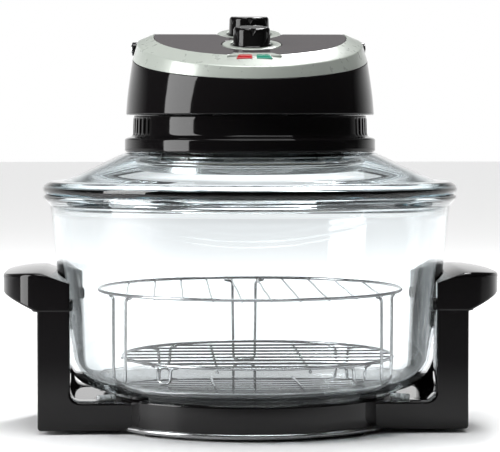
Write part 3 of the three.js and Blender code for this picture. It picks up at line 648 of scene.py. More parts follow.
    def rubber_pieces(self) -> None:
        """Makes the dome buffers on the posts, the pads and pegs under the bowl, and the feet."""
        for side, x in (("left", -1), ("right", 1)):
            for end, y in (("front", -1), ("rear", 1)):
                key = f"{end}_{side}"
                low, high = (np.array(corner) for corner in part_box(f"bowl_buffer_{key}"))
                length, radius = (high - low)[0] / MM, (high - low)[2] / 2 / MM
                dome = rounded([(0, -1), (radius, -1), (radius, length * 0.35), (radius * 0.7, length), (0, length)],
                               [0, 0.5, 1.2, 1.6, 0], closed=False)
                at = (low + high) / 2
                at[0] = low[0] if x < 0 else high[0]
                flip = -1 if x > 0 else 1
                surface = Surface().turned(dome, 40)
                surface.moved(lambda p, a=at, f=flip: np.stack([f * p[:, 2], f * p[:, 1], p[:, 0]], axis=-1) + a)
                surface.piece(f"dome_buffer_{key}", RUBBER, Body.STAND, f"bowl_buffer_{key}")
                angle = x * y * 38 + (0 if x > 0 else 180)
                pad = rounded([(0, 0), (7.2, 0), (6.6, 2.7), (3.4, 2.7), (2.8, 1.4), (0, 1.4)],
                              [0, 0.6, 1.0, 0.6, 0.6, 0], closed=False)
                spot = (*polar(112.1 * MM, angle), 28.0 * MM)
                Surface().turned(pad, 40, spot).piece(f"seat_pad_{key}", RUBBER, Body.STAND, f"bowl_pad_{key}")
                self.peg(key, x * y * 27 + (0 if x > 0 else 180))
                foot = rounded([(0, 0), (8.4, 0), (9, 1.7), (0, 1.7)], [0, 0.5, 0.3, 0], closed=False)
                spot = (*polar((self.plinth_radius - 12.5) * MM, x * y * 45 + (0 if x > 0 else 180)), 0.0)
                Surface().turned(foot, 40, spot).piece(f"foot_{key}", RUBBER, Body.STAND, f"rubber_foot_{key}")

    def peg(self, key: str, angle: float) -> None:
        """Makes one ribbed silicone peg lying on an arm, pointing outwards.

        Args:
            key: which corner it is at.
            angle: its direction from +X, in degrees.
        """
        ribs = [(0, 0), (2.0, 0)]
        for rib in range(5):
            ribs += [(2.5, 0.8 + rib * 2.9), (2.5, 2.6 + rib * 2.9), (2.15, 2.9 + rib * 2.9), (2.15, 3.4 + rib * 2.9)]
        ribs += [(1.9, 15.2), (0, 15.2)]
        outline = rounded(ribs, 0.25, closed=False, steps=2)
        start = np.array([*polar((self.plinth_radius + 1) * MM, angle), (self.arm_top + 2.9) * MM])
        surface = Surface().turned(outline, 28)
        surface.moved(lambda p: turn_z(np.stack([p[:, 2], p[:, 1], -p[:, 0]], axis=-1), angle) + start)
        surface.piece(f"silicone_peg_{key}", SILICONE, Body.STAND, f"bowl_peg_{key}")


# ---------------------------------------------------------------------------------------- bowl and racks


@dataclass
class Bowl:
    """The glass bowl: flat floor, round corner, gently flared wall and a thick rolled rim."""

    foot_radius: float = 145.1
    neck_radius: float = 158.6
    rim_radius: float = 164.8
    corner: float = 28.0
    wall: float = 5.0
    ripple: float = 0.24
    ripple_pitch: float = 9.0

    def build(self) -> None:
        """Turns the bowl from its outline, the outer wall up and the inner wall down."""
        low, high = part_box("glass_bowl")
        base, top = low[2] / MM, high[2] / MM
        neck = top - 12.6
        outer = rounded([(0, base), (self.foot_radius, base), (self.neck_radius - 0.2, neck - 2),
                         (self.neck_radius + 1.2, neck + 4.6), (self.rim_radius - 3.4, top - 6.2),
                         (self.rim_radius, top - 2.8), (self.rim_radius - 0.4, top)],
                        [0, self.corner, 6, 3, 2.4, 1.5, 0], closed=False, steps=14)
        inner = rounded([(self.neck_radius - 3.0, top), (self.neck_radius - self.wall, neck - 4),
                         (self.foot_radius - self.wall, base + self.wall), (0, base + self.wall)],
                        [0, 6, self.corner - self.wall, 0], closed=False, steps=14)
        rim = rounded([tuple(outer[-2] / MM), (self.rim_radius - 0.4, top), (self.neck_radius - 3.0, top),
                       tuple(inner[1] / MM)], [0, 1.6, 1.6, 0], closed=False, steps=8)
        outline = dense(np.concatenate([outer[:-1], rim[1:-1], inner[1:]]), 2.0 * MM, closed=False)
        radius = outline[:, 0] / MM
        under = (outline[:, 1] < (base + 0.4) * MM) & (radius < self.foot_radius - self.corner + 6)
        outline[:, 1] += np.where(under, self.ripple * MM * (1 - np.cos(2 * pi * radius / self.ripple_pitch)), 0.0)
        surface = Surface().turned(outline, 256)
        surface.piece("bowl_glass", GLASS, Body.BOWL, "glass_bowl", sharp=60)


@dataclass
class Racks:
    """The two welded wire racks: parallel wires in a ring, on U-shaped legs."""

    wire: float = 1.25
    high_radius: float = 120.8
    low_radius: float = 108.0
    pitch: float = 21.8
    leg_width: float = 20.0
    low_centre: tuple[float, float] = (6.0, 2.0)

    def build(self) -> None:
        """Builds both racks at the heights of their CAD nodes."""
        self.high_rack()
        self.low_rack()

    def ring(self, surface: Surface, radius: float, height: float, centre: tuple[float, float] = (0, 0)) -> None:
        """Adds the outer ring of a rack.

        Args:
            surface: the surface to add to.
            radius: of the ring's centre line, in millimetres.
            height: of the centre line, in metres.
            centre: x and y of its centre, in millimetres.
        """
        angle = np.linspace(0, 2 * pi, 145)[:-1]
        path = np.stack([radius * MM * np.cos(angle) + centre[0] * MM, radius * MM * np.sin(angle) + centre[1] * MM,
                         np.full(144, height)], axis=-1)
        surface.wire(path, self.wire * MM, closed=True)

    def bars(self, surface: Surface, radius: float, height: float, count: int, pitch: float, along_x: bool,
             centre: tuple[float, float] = (0, 0), thin: float = 0.66) -> None:
        """Adds parallel wires that end just past the ring.

        Args:
            surface: the surface to add to.
            radius: of the ring, in millimetres.
            height: of the wires, in metres.
            count: number of wires.
            pitch: distance between them, in millimetres.
            along_x: whether they run along X instead of Y.
            centre: x and y of the ring's centre, in millimetres.
            thin: their radius as a share of the ring's.
        """
        for index in range(count):
            offset = (index - (count - 1) / 2) * pitch
            half = sqrt(radius ** 2 - offset ** 2) + self.wire
            run = np.linspace(-half, half, 24)
            sag = 0.25 * np.sin(np.linspace(0, pi, 24) * (2 + index % 3) + index)
            across = np.stack([run, offset + sag] if along_x else [offset + sag, run], axis=-1)
            path = np.column_stack([(across + np.array(centre)) * MM, np.full(24, height)])
            surface.wire(path, self.wire * thin * MM, sides=8)

    def leg(self, surface: Surface, radius: float, angle: float, top: float, floor: float, width: float,
            centre: tuple[float, float] = (0, 0)) -> None:
        """Adds a U-shaped leg whose tops turn aside along the ring.

        Args:
            surface: the surface to add to.
            radius: of the leg's plane from the rack's axis, in millimetres.
            angle: its direction from +X, in degrees.
            top: height of the weld under the ring, in millimetres.
            floor: height of the foot's centre line, in millimetres.
            width: between the two uprights, in millimetres.
            centre: x and y of the rack's axis, in millimetres.
        """
        half = width / 2
        outline = rounded([(-half - 6, top), (-half, top - 1.2), (-half + 0.8, floor), (half - 0.8, floor),
                           (half, top - 1.2), (half + 6, top)], [0, 3.2, 5.5, 5.5, 3.2, 0], closed=False, steps=8)
        outline = dense(outline, 4 * MM, closed=False)
        curve = np.sqrt(np.maximum((radius * MM) ** 2 - outline[:, 0] ** 2, 0.0))
        path = turn_z(np.column_stack([curve, outline]), angle) + np.array([*centre, 0]) * MM
        surface.wire(path, self.wire * MM)

    def high_rack(self) -> None:
        """Builds the high rack and its three legs."""
        low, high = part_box("high_rack_grid")
        height = (low[2] + high[2]) / 2
        surface = Surface()
        self.ring(surface, self.high_radius, height)
        self.bars(surface, self.high_radius, height - 1.0 * MM, 10, self.pitch, False)
        surface.piece("high_rack_wires", CHROME, Body.HIGH_RACK, "high_rack_grid")
        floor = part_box("high_rack_leg_left")[0][2] / MM + self.wire
        for name, angle in (("rear", 90), ("left", 210), ("right", 330)):
            leg = Surface()
            self.leg(leg, self.high_radius - 1.6, angle, height / MM - 1.8, floor, self.leg_width)
            leg.piece(f"high_rack_u_leg_{name}", CHROME, Body.HIGH_RACK, f"high_rack_leg_{name}")

    def low_rack(self) -> None:
        """Builds the low rack with its cross wires and four short feet."""
        low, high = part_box("low_rack")
        height = high[2] - self.wire * MM
        surface = Surface()
        self.ring(surface, self.low_radius, height, self.low_centre)
        self.bars(surface, self.low_radius, height - 0.9 * MM, 8, 24.0, True, self.low_centre)
        self.bars(surface, self.low_radius, height - 2.9 * MM, 2, 70.0, False, self.low_centre, thin=1.0)
        for angle in (45, 135, 225, 315):
            self.leg(surface, self.low_radius - 2, angle, height / MM - 1.4, low[2] / MM + self.wire, 14.0,
                     self.low_centre)
        surface.piece("low_rack_wires", CHROME, Body.LOW_RACK, "low_rack")


# ---------------------------------------------------------------------------------------- lid and power head


@dataclass
class LidGlass:
    """The glass lid: thick rim that sits on the bowl, a shallow cone and a flat seat for the power head."""

    rim_radius: float = 165.0
    rim_height: float = 10.2
    rim_width: float = 19.0
    rise: float = 33.1
    seat_radius: float = 100.0
    hole_radius: float = 82.0
    wall: float = 5.0
    lip_outer: float = 153.1

    def build(self) -> None:
        """Turns the lid from its outline; the lowest points make the locating lip inside the bowl."""
        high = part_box("lid_glass")[1][2] / MM
        base = high - self.rise
        rim_in = self.rim_radius - self.rim_width
        top = base + self.rim_height
        outline = rounded([
            (self.rim_radius - 1.6, base), (self.rim_radius, base + 3.0), (self.rim_radius - 0.2, top - 3.6),
            (self.rim_radius - 4.4, top), (rim_in + 3.5, top - 0.2), (rim_in - 0.5, top + 1.5),
            (self.seat_radius, high - 0.4), (self.seat_radius - 4, high), (self.hole_radius, high),
            (self.hole_radius, high - self.wall), (self.seat_radius - 4, high - self.wall),
            (rim_in - 12, top + 2.0 - self.wall), (rim_in - 1, base + 2.4), (rim_in + 1.5, base - 3.0),
            (rim_in + 3.6, base - 4.6), (self.lip_outer, base - 4.0), (self.lip_outer, base)],
            [1.2, 2.0, 4.0, 2.4, 3.0, 3.0, 6.0, 2.0, 0.8, 0.8, 6.0, 8.0, 3.0, 2.0, 1.6, 1.2, 0.6], steps=7)
        Surface().turned(outline, 256).piece("glass_lid", GLASS, Body.LID, "lid_glass", sharp=60)


@dataclass
class HeadTop:
    """The tilted top of the power head: it climbs from the front, crests behind the axis and falls to the rear."""

    front_slope: float = tan(radians(12.4))
    rear_slope: float = tan(radians(8.0))
    crest_start: float = 9.0
    crest_end: float = 22.0

    def rise(self, y: Array) -> Array:
        """Returns how far the top stands above its height on the axis, at depths y in metres.

        A straight climb, then a parabola whose slope falls evenly to the rear slope, then a straight fall.
        """
        start, end = self.crest_start * MM, self.crest_end * MM
        along = np.clip(y, start, end) - start
        bend = self.front_slope * along - (self.front_slope + self.rear_slope) * along ** 2 / (2 * (end - start))
        climb = self.front_slope * np.minimum(y, start)
        return climb + bend - self.rear_slope * np.maximum(y - end, 0.0)

    def sheared(self, points: Array, share: Array | float = 1.0) -> Array:
        """Returns points lifted by their share of the top's rise."""
        lifted = np.array(points)
        lifted[..., 2] += share * self.rise(points[..., 1])
        return lifted

    def turned(self, outline: Array, shares: Array, segments: int = 240) -> Surface:
        """Turns a closed outline whose points each take a share of the tilt.

        Args:
            outline: (radius, height) points, in metres.
            shares: the share of the rise that each point takes.
            segments: steps round the axis.

        Returns:
            The surface.
        """
        angle = np.arange(segments) * (2 * pi / segments)
        radius, height = outline[:, 0][:, None], outline[:, 1][:, None]
        points = np.stack([radius * np.cos(angle), radius * np.sin(angle), height + 0 * angle], axis=-1)
        return Surface().grid(self.sheared(points, shares[:, None]), wrap_rows=True)


@dataclass
class PowerHead:
    """Lower housing with vent ribs, upper shell, silver trim with its indicator tab, and the control panel."""

    top: HeadTop = field(default_factory=HeadTop)
    neck_radius: float = 92.6
    ring_radius: float = 100.0
    ring_height: float = 11.0
    shell_base: float = 29.1
    shell_base_radius: float = 98.9
    shell_top: float = 73.4
    shell_top_radius: float = 93.6
    crease: float = 86.2
    crease_radius: float = 89.5
    panel_radius: float = 76.6
    panel_edge: float = 91.7
    joint_tilt: float = 0.834
    vent_pitch: float = 4.9
    vent_start: float = 62.0
    tab_half: float = 21.0
    tab_back: float = 14.0
    tab_depth: float = 9.6
    base: float = 0.0

    def build(self) -> None:
        """Builds the head's pieces on the height of its CAD housing."""
        self.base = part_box("lower_housing")[0][2] / MM
        self.lower_housing()
        self.upper_shell()
        self.trim()
        self.tab_and_lenses()
        self.panel()
        self.inlet()

    def lower_housing(self) -> None:
        """Turns the base ring and neck; round the back the neck dips between ribs, as a raised cosine of angle."""
        base, top = self.base, self.base + self.shell_base - 0.3
        neck, ring = self.neck_radius, self.ring_radius
        shoulder = base + self.ring_height
        outline = rounded([
            (78, base), (ring - 1, base), (ring, base + 1), (ring, shoulder - 1), (ring - 1.5, shoulder),
            (neck + 0.9, shoulder + 1.4), (neck + 0.5, top - 3), (neck, top), (neck - 2.5, top),
            (neck - 1.6, shoulder - 1), (ring - 3, shoulder - 3), (ring - 3, base + 2.5), (78, base + 2.5)],
            [0.8, 1.5, 1.5, 2.2, 2.2, 3.0, 1, 0.5, 0.8, 1, 1, 1, 0.8], steps=4)
        outline = dense(outline, 1.5 * MM)
        segments = 810
        angle = np.arange(segments) * (2 * pi / segments)
        from_front = np.degrees(np.abs((angle + pi / 2 + pi) % (2 * pi) - pi))
        phase = (from_front - self.vent_start) / self.vent_pitch
        rib = np.clip(2.5 * np.cos(2 * pi * phase) + 0.4, 0.0, 1.0)
        cut = np.where(from_front > self.vent_start - self.vent_pitch / 2, 1.0 - rib, 0.0)
        height = outline[:, 1] / MM
        outside = outline[:, 0] > (neck - 0.9) * MM
        zone = np.clip((height - shoulder - 2.6) / 0.8, 0, 1) * np.clip((top - 2.2 - height) / 0.8, 0, 1)
        depth = 2.0 * MM * (zone * outside)[:, None] * cut
        radius = outline[:, 0][:, None] - depth
        points = np.stack([radius * np.cos(angle), radius * np.sin(angle), outline[:, 1][:, None] + 0 * angle],
                          axis=-1)
        surface = Surface().grid(points, wrap_rows=True)
        surface.piece("ribbed_lower_housing", PIANO_BLACK, Body.LID, "lower_housing", sharp=50)

    def upper_shell(self) -> None:
        """Turns the tapering shell with a crowned wall, sheared so that its top edge follows the tilt."""
        low, high = self.base + self.shell_base, self.base + self.shell_top
        wide, narrow = self.shell_base_radius, self.shell_top_radius
        outline = rounded([
            (wide - 12, low), (wide - 0.6, low), (wide, low + 1.2), (wide - 1.0, (low * 2 + high) / 3),
            (wide - 3.0, (low + high * 2) / 3), (narrow, high), (narrow - 2.5, high),
            (wide - 5.6, (low + high * 2) / 3), (wide - 3.4, low + 2.5), (wide - 12, low + 2.5)],
            [1, 0.7, 0.9, 8, 8, 0.5, 0.5, 8, 1, 1], steps=8)
        along = np.clip((outline[:, 1] / MM - low) / (high - low), 0, 1)
        shares = self.joint_tilt * along ** 1.6
        surface = self.top.turned(outline, shares)
        surface.piece("tapered_shell", PIANO_BLACK, Body.LID, "upper_shell")

    def trim(self) -> None:
        """Turns the silver ring: an upright band, a soft crease and a bevel that leads in to the panel."""
        low, edge = self.base + self.shell_top + 0.25, self.panel_radius + 0.4
        crease, inner = self.base + self.crease, self.base + self.panel_edge
        corners = [(self.shell_top_radius - 0.1, low), (self.crease_radius + 0.3, crease), (edge, inner),
                   (edge, inner - 2.5), (self.crease_radius - 2, crease - 2), (self.shell_top_radius - 2.7, low)]
        shares = np.array([self.joint_tilt, 1.04, 1.0, 1.0, 1.04, self.joint_tilt])
        outline = rounded(corners, [0.4, 0.9, 0.7, 0.5, 0.9, 0.4], steps=6)
        taken = np.repeat(shares, 7)
        surface = self.top.turned(outline, taken)
        surface.piece("silver_trim", SATIN_SILVER, Body.LID, "trim_ring")

    def bevel_height(self, y: Array) -> Array:
        """Returns the height of the trim's bevel, before the tilt, at depths y in front of the axis, in metres."""
        run, fall = self.crease_radius - self.panel_radius - 0.4, self.panel_edge - self.crease
        return (self.base + self.panel_edge) * MM - (-y - (self.panel_radius + 0.4) * MM) * fall / run

    def tab_and_lenses(self) -> None:
        """Makes the silver tab in the panel's front notch, and the two lenses set in the bevel below it."""
        edge = -self.panel_radius - 0.4
        far = edge + self.tab_depth
        half, back, height = self.tab_half, self.tab_back, (self.base + self.panel_edge) * MM
        plan = rounded([(-half, edge - 0.8), (half, edge - 0.8), (half, edge), (back, far), (-back, far),
                        (-half, edge)], [0.35, 0.35, 0.35, 1.0, 1.0, 0.35])
        tab = Surface().slab(dense(plan, 3 * MM), height - 2.4 * MM, height + 0.05 * MM, 0.15 * MM)
        tab.moved(self.top.sheared).piece("indicator_tab", SATIN_SILVER, Body.LID)
        for name, sign, finish in (("red_lens", -1, RED), ("green_lens", 1, GREEN)):
            near, deep = -self.panel_radius - 4.4, 4.6
            inner, outer = sign * 1.6, sign * 14.0
            plan = [(inner, near), (outer, near), (outer - sign * 2.2, near + deep), (inner, near + deep)]
            lens = Surface().slab(rounded(plan, 0.7), -2 * MM, 0.3 * MM, 0.3 * MM)
            lens.moved(lambda p: p + np.stack([0 * p[:, 0], 0 * p[:, 0], self.bevel_height(p[:, 1])], axis=-1))
            lens.moved(self.top.sheared).piece(f"{name}_window", finish, Body.LID, name)

    def panel(self) -> None:
        """Makes the panel: rays from a point between the dials run from the dials' edge out to the rim or notch."""
        centre_y = -8.4
        angle = np.arange(720) * (2 * pi / 720)
        ray = np.stack([np.cos(angle), np.sin(angle)], axis=-1)

        def far_crossing(middle_y: float, radius: float) -> Array:
            """Returns how far along each ray it leaves a circle centred on the head's middle line."""
            offset = centre_y - middle_y
            along = -offset * ray[:, 1]
            inside = radius ** 2 - offset ** 2 + along ** 2
            return np.where(inside > 0, along + np.sqrt(np.maximum(inside, 0)), 0.0)

        dials = np.maximum(far_crossing(-31.0, 23.9), far_crossing(18.0, 26.4))
        dials = np.maximum(dials, 1.2)
        rim = far_crossing(0.0, self.panel_radius)
        notch_y = -self.panel_radius + self.tab_depth + 0.4
        with np.errstate(divide="ignore", invalid="ignore"):
            to_shelf = np.where(ray[:, 1] < 0, (notch_y - centre_y) / ray[:, 1], np.inf)
            slant = (self.tab_half - self.tab_back) / self.tab_depth
            half = self.tab_back + 0.8
            reach = half + slant * notch_y
            to_side = (reach - slant * centre_y) / (np.abs(ray[:, 0]) + slant * ray[:, 1])
        in_notch = (np.abs(ray[:, 0]) * to_shelf < half) & (ray[:, 1] < 0)
        side_hit = (to_side > 0) & (to_side < rim) & (centre_y + to_side * ray[:, 1] < notch_y)
        edge = np.where(in_notch, to_shelf, np.where(side_hit & ~in_notch, np.minimum(to_side, rim), rim))
        height = self.base + self.panel_edge - 0.3
        lip, thick = 0.5, 2.4
        rows = [(dials, -thick), (dials, -lip), (dials + 0.15, -0.15), (dials + lip, 0.0)]
        rows += [(dials + lip + (edge - 2 * lip - dials) * share, 0.0) for share in np.linspace(0.04, 1.0, 22)]
        rows += [(edge - 0.15, -0.15), (edge, -lip), (edge, -thick)]
        points = [np.column_stack([ray[:, 0] * reach_out, centre_y + ray[:, 1] * reach_out,
                                   np.full(len(ray), height + drop)]) * MM for reach_out, drop in rows]
        surface = Surface().grid(np.stack(points), wrap_rows=True).moved(self.top.sheared)
        surface.piece("gloss_panel", PANEL_BLACK, Body.LID, "control_panel")

    def inlet(self) -> None:
        """Makes the collar and three pins of the appliance inlet at the rear of the shell."""
        low, high = (np.array(corner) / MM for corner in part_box("power_inlet"))
        middle = (low + high) / 2
        outer = box_outline(low[0], low[2], high[0], high[2], 3.0)
        hole = box_outline(middle[0] - 10.5, middle[2] - 7, middle[0] + 10.5, middle[2] + 7, 4.0)
        rows = [(hole * 0 + np.array([middle[0], middle[2]]) * MM, high[1] - 13), (hole, high[1] - 13),
                (hole, high[1] - 0.5), (hole + (outer - hole) * 0.1, high[1]), (hole + (outer - hole) * 0.9, high[1]),
                (outer, high[1] - 0.8), (outer, low[1]), (outer * 0 + np.array([middle[0], middle[2]]) * MM, low[1])]
        points = [np.column_stack([flat[:, 0], np.full(len(flat), y * MM), flat[:, 1]]) for flat, y in rows]
        surface = Surface().grid(np.stack(points))
        for x in (-6, 0, 6):
            pin = box_outline(x - 1, middle[2] - 4.5, x + 1, middle[2] - 1, 0.6)
            prism = Surface().slab(pin, -(high[1] - 3) * MM, -(high[1] - 14) * MM, 0.3 * MM)
            surface.add(prism.moved(along_depth))
        surface.piece("inlet_collar", GREY_PLASTIC, Body.LID, "power_inlet")


@dataclass
class Dial:
    """One control: silver dial plate and knob with six finger notches."""

    name: str
    body: Body
    y: float
    height: float
    tilt: float
    plate_radius: float
    radius: float
    knob_height: float

    def build(self, base: float) -> None:
        """Builds the dial on its tilted axis.

        Args:
            base: height of the power head's base, in millimetres.
        """
        place = np.array([0.0, self.y, base + self.height]) * MM

        def seat(points: Array) -> Array:
            """Returns points leant forward and moved to the dial's place."""
            return lean(points, self.tilt) + place

        radius, recess = self.plate_radius, self.radius + 2.0
        outline = rounded([(3.5, -2.5), (radius, -2.5), (radius, 1.9), (radius - 0.8, 2.3), (recess + 0.8, 2.3),
                           (recess, 1.8), (recess - 0.2, 0.2), (3.5, 0.2)],
                          [0.2, 0.3, 0.4, 0.4, 0.4, 0.4, 0.2, 0.2])
        plate = Surface().turned(outline, 128).moved(lambda p: lean(p, 12.4 - self.tilt)).moved(seat)
        plate.piece(f"{self.name}_silver_boss", SATIN_SILVER, Body.LID, f"{self.name}_dial_plate")
        self.knob().moved(seat).piece(f"{self.name}_notched_knob", PIANO_BLACK, self.body, f"{self.name}_knob",
                                      sharp=32)

    def knob(self) -> Surface:
        """Turns the knob, then lowers or draws in its surface to the six V grooves that cross its top edge.

        A groove's floor climbs from the side wall to the top face, and its sides climb with distance from it.
        """
        radius, top, low = self.radius, self.knob_height, 0.5
        outline = rounded([(0, low), (radius + 1.2, low), (radius + 1.0, low + 1.0), (radius + 0.2, low + 1.7),
                           (radius - 0.2, top - 1.6), (radius - 1.5, top), (0, top)],
                          [0, 0.4, 0.6, 0.8, 1.2, 1.2, 0], closed=False, steps=6)
        outline = dense(outline, 0.45 * MM, closed=False)
        segments = 432
        angle = np.arange(segments) * (2 * pi / segments)
        nearest = (angle + pi / 6) % (pi / 3) - pi / 6
        spread = outline[:, 0][:, None] / MM * np.abs(np.sin(nearest))[None, :]
        r = np.repeat(outline[:, 0][:, None] / MM, segments, axis=1)
        z = np.repeat(outline[:, 1][:, None] / MM, segments, axis=1)
        foot, run, steep = top - 5.6, 4.4, 1.5
        floor = foot + (radius - r) * (5.6 / run) + spread * steep
        on_wall = (r > radius - 1.6) & (z < top - 0.8)
        drawn = np.minimum(r, radius + (foot + spread * steep - z) * (run / 5.6))
        r = np.where(on_wall, np.maximum(drawn, 0.0), r)
        z = np.where(on_wall, z, np.minimum(z, np.maximum(floor, foot)))
        turn = angle - pi / 2
        points = np.stack([r * np.cos(turn), r * np.sin(turn), z], axis=-1) * MM
        return Surface().grid(points)


@dataclass
class Heater:
    """What shows through the lid glass: reflector, halogen ring with its holders, guard pan and wire guard."""

    reflector_radius: float = 74.5
    tube_ring: float = 60.0
    tube_radius: float = 4.5
    guard_radius: float = 90.0

    def build(self) -> None:
        """Builds the heating side from the heights of its CAD nodes."""
        self.reflector()
        self.halogen_ring()
        self.guard()

    def reflector(self) -> None:
        """Turns the stepped steel dish, with its rolled flange, and adds the struts and screws on its wall."""
        low, high = (corner[2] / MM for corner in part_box("reflector_dish"))
        radius = self.reflector_radius
        outline = rounded([(6, high), (radius - 1, high), (radius, high - 1), (radius, high - 5), (radius - 1, high - 6),
                           (radius - 1, low + 3), (radius + 2, low + 1.6), (89, low + 1.6), (89, low),
                           (radius - 1.6, low), (radius - 2.6, high - 1.6), (6, high - 1.6)],
                          [0.4, 0.5, 0.5, 0.6, 0.6, 2, 2, 0.5, 0.5, 1, 1, 0.4])
        surface = Surface().turned(outline, 200)
        for index in range(12):
            strut = box_outline(-4, low + 2, 4, high - 2, 1.0)
            bracket = Surface().slab(strut, -(radius + 0.9) * MM, -(radius - 0.6) * MM, 0.4 * MM).moved(along_depth)
            screw = rounded([(0, 0), (2.4, 0), (2.2, 1.3), (0, 1.6)], [0, 0.3, 0.8, 0], closed=False)
            head = Surface().turned(screw, 20)
            head.moved(lambda p: np.stack([p[:, 0], p[:, 2] + (radius + 0.6) * MM, p[:, 1] + (low + 7) * MM], axis=-1))
            for part in (bracket, head):
                part.moved(lambda p, turn=index * 30.0 + 15.0: turn_z(p, turn))
            surface.add(bracket).add(head)
        surface.piece("stepped_reflector", STEEL, Body.LID, "reflector_dish")

    def halogen_ring(self) -> None:
        """Turns the quartz ring, and makes its two ceramic holders as rounded blocks."""
        low, high = (corner[2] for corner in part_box("halogen_tube"))
        angle = np.linspace(0, 2 * pi, 121)[:-1]
        circle = np.stack([np.cos(angle), np.sin(angle), 0 * angle], axis=-1)
        path = circle * self.tube_ring * MM + np.array([0, 0, (low + high) / 2])
        Surface().wire(path, self.tube_radius * MM, closed=True, sides=20).piece(
            "quartz_ring", QUARTZ, Body.LID, "halogen_tube")
        for side in ("left", "right"):
            near, far = (np.array(corner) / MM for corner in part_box(f"tube_holder_{side}"))
            plan = box_outline(near[0], near[1], far[0], far[1], 1.5)
            holder = Surface().slab(plan, near[2] * MM, far[2] * MM, 0.6 * MM)
            holder.piece(f"ceramic_holder_{side}", SILICONE, Body.LID, f"tube_holder_{side}")

    def guard(self) -> None:
        """Turns the guard pan with its rolled upper lip, and lays the wire guard across it."""
        low, high = (corner[2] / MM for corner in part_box("guard_pan"))
        radius = self.guard_radius
        outline = rounded([(radius - 1.2, low), (radius, low), (radius, high - 3.6), (radius + 2, high - 2.4),
                           (radius + 2.2, high - 0.8), (radius + 0.6, high), (radius - 1.0, high - 1.2),
                           (radius - 1.2, high - 3)], [0.3, 0.3, 1.6, 1.2, 1.0, 1.0, 0.8, 1.0])
        Surface().turned(outline, 200).piece("rolled_guard_pan", STEEL, Body.LID, "guard_pan")
        bottom, top = (corner[2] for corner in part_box("wire_guard"))
        height, wire = (bottom + top) / 2, 1.1 * MM
        surface = Surface()
        angle = np.linspace(0, 2 * pi, 121)[:-1]
        for ring in (28, 56, 84):
            path = np.stack([ring * MM * np.cos(angle), ring * MM * np.sin(angle), 0 * angle + height], axis=-1)
            surface.wire(path, wire, closed=True, sides=8)
        for index in range(3):
            run = np.linspace(-87, 87, 9)[:, None] * MM
            path = run * np.array([*polar(1.0, index * 60.0), 0.0]) + np.array([0, 0, height - 1.0 * MM])
            surface.wire(path, wire, sides=8)
        surface.piece("wire_guard_rings", CHROME, Body.LID, "wire_guard")


@dataclass
class CarryHandle:
    """The half-loop handle folded round the back of the head, with eyes on two pins."""

    pivot_y: float = 28.0
    half_width: float = 92.0
    reach: float = 80.0
    rise: float = 5.0
    thick: float = 4.4
    tall: float = 10.0
    eye_radius: float = 5.5

    def build(self, base: float) -> None:
        """Builds the loop and its eyes.

        Args:
            base: height of the power head's base, in millimetres.
        """
        place = np.array([0, self.pivot_y, base + 82.4]) * MM
        angle = np.linspace(0, pi, 97)
        path = np.stack([self.half_width * np.cos(angle), self.reach * np.sin(angle), 0 * angle], axis=-1) * MM
        half_thick, half_tall = self.thick / 2, self.tall / 2
        section = box_outline(-half_thick, -half_tall, half_thick, half_tall, 1.8)
        surface = Surface().carried(path, section)
        rim, low, high = self.eye_radius, 0.2 - half_thick, half_thick
        eye = rounded([(2.9, low), (rim - 0.6, low), (rim, low + 0.6), (rim, high - 0.6), (rim - 0.6, high),
                       (2.9, high)], 0.5)
        for sign in (-1, 1):
            ring = Surface().turned(eye, 48)
            ring.moved(lambda p, s=sign: np.stack([s * (p[:, 2] + self.half_width * MM), s * p[:, 1], p[:, 0]], axis=-1))
            surface.add(ring)
        surface.moved(lambda p: lean(p, self.rise))
        surface.moved(lambda p: p + place)
        surface.piece("carrying_loop", PIANO_BLACK, Body.HANDLE, "safety_handle")
        for side, sign in (("left", -1), ("right", 1)):
            face = self.half_width + half_thick
            cap = rounded([(0, face - 4.6), (2.6, face - 4.6), (2.6, face), (3.6, face + 0.1), (3.2, face + 0.7),
                           (0, face + 1.0)], [0, 0.1, 0.2, 0.2, 0.4, 0], closed=False)
            pin = Surface().turned(cap, 32)
            pin.moved(lambda p, s=sign: np.stack([s * p[:, 2], s * p[:, 1], p[:, 0]], axis=-1) + place)
            pin.piece(f"capped_pin_{side}", STEEL, Body.LID, f"handle_pin_{side}")


# ---------------------------------------------------------------------------------------- studio


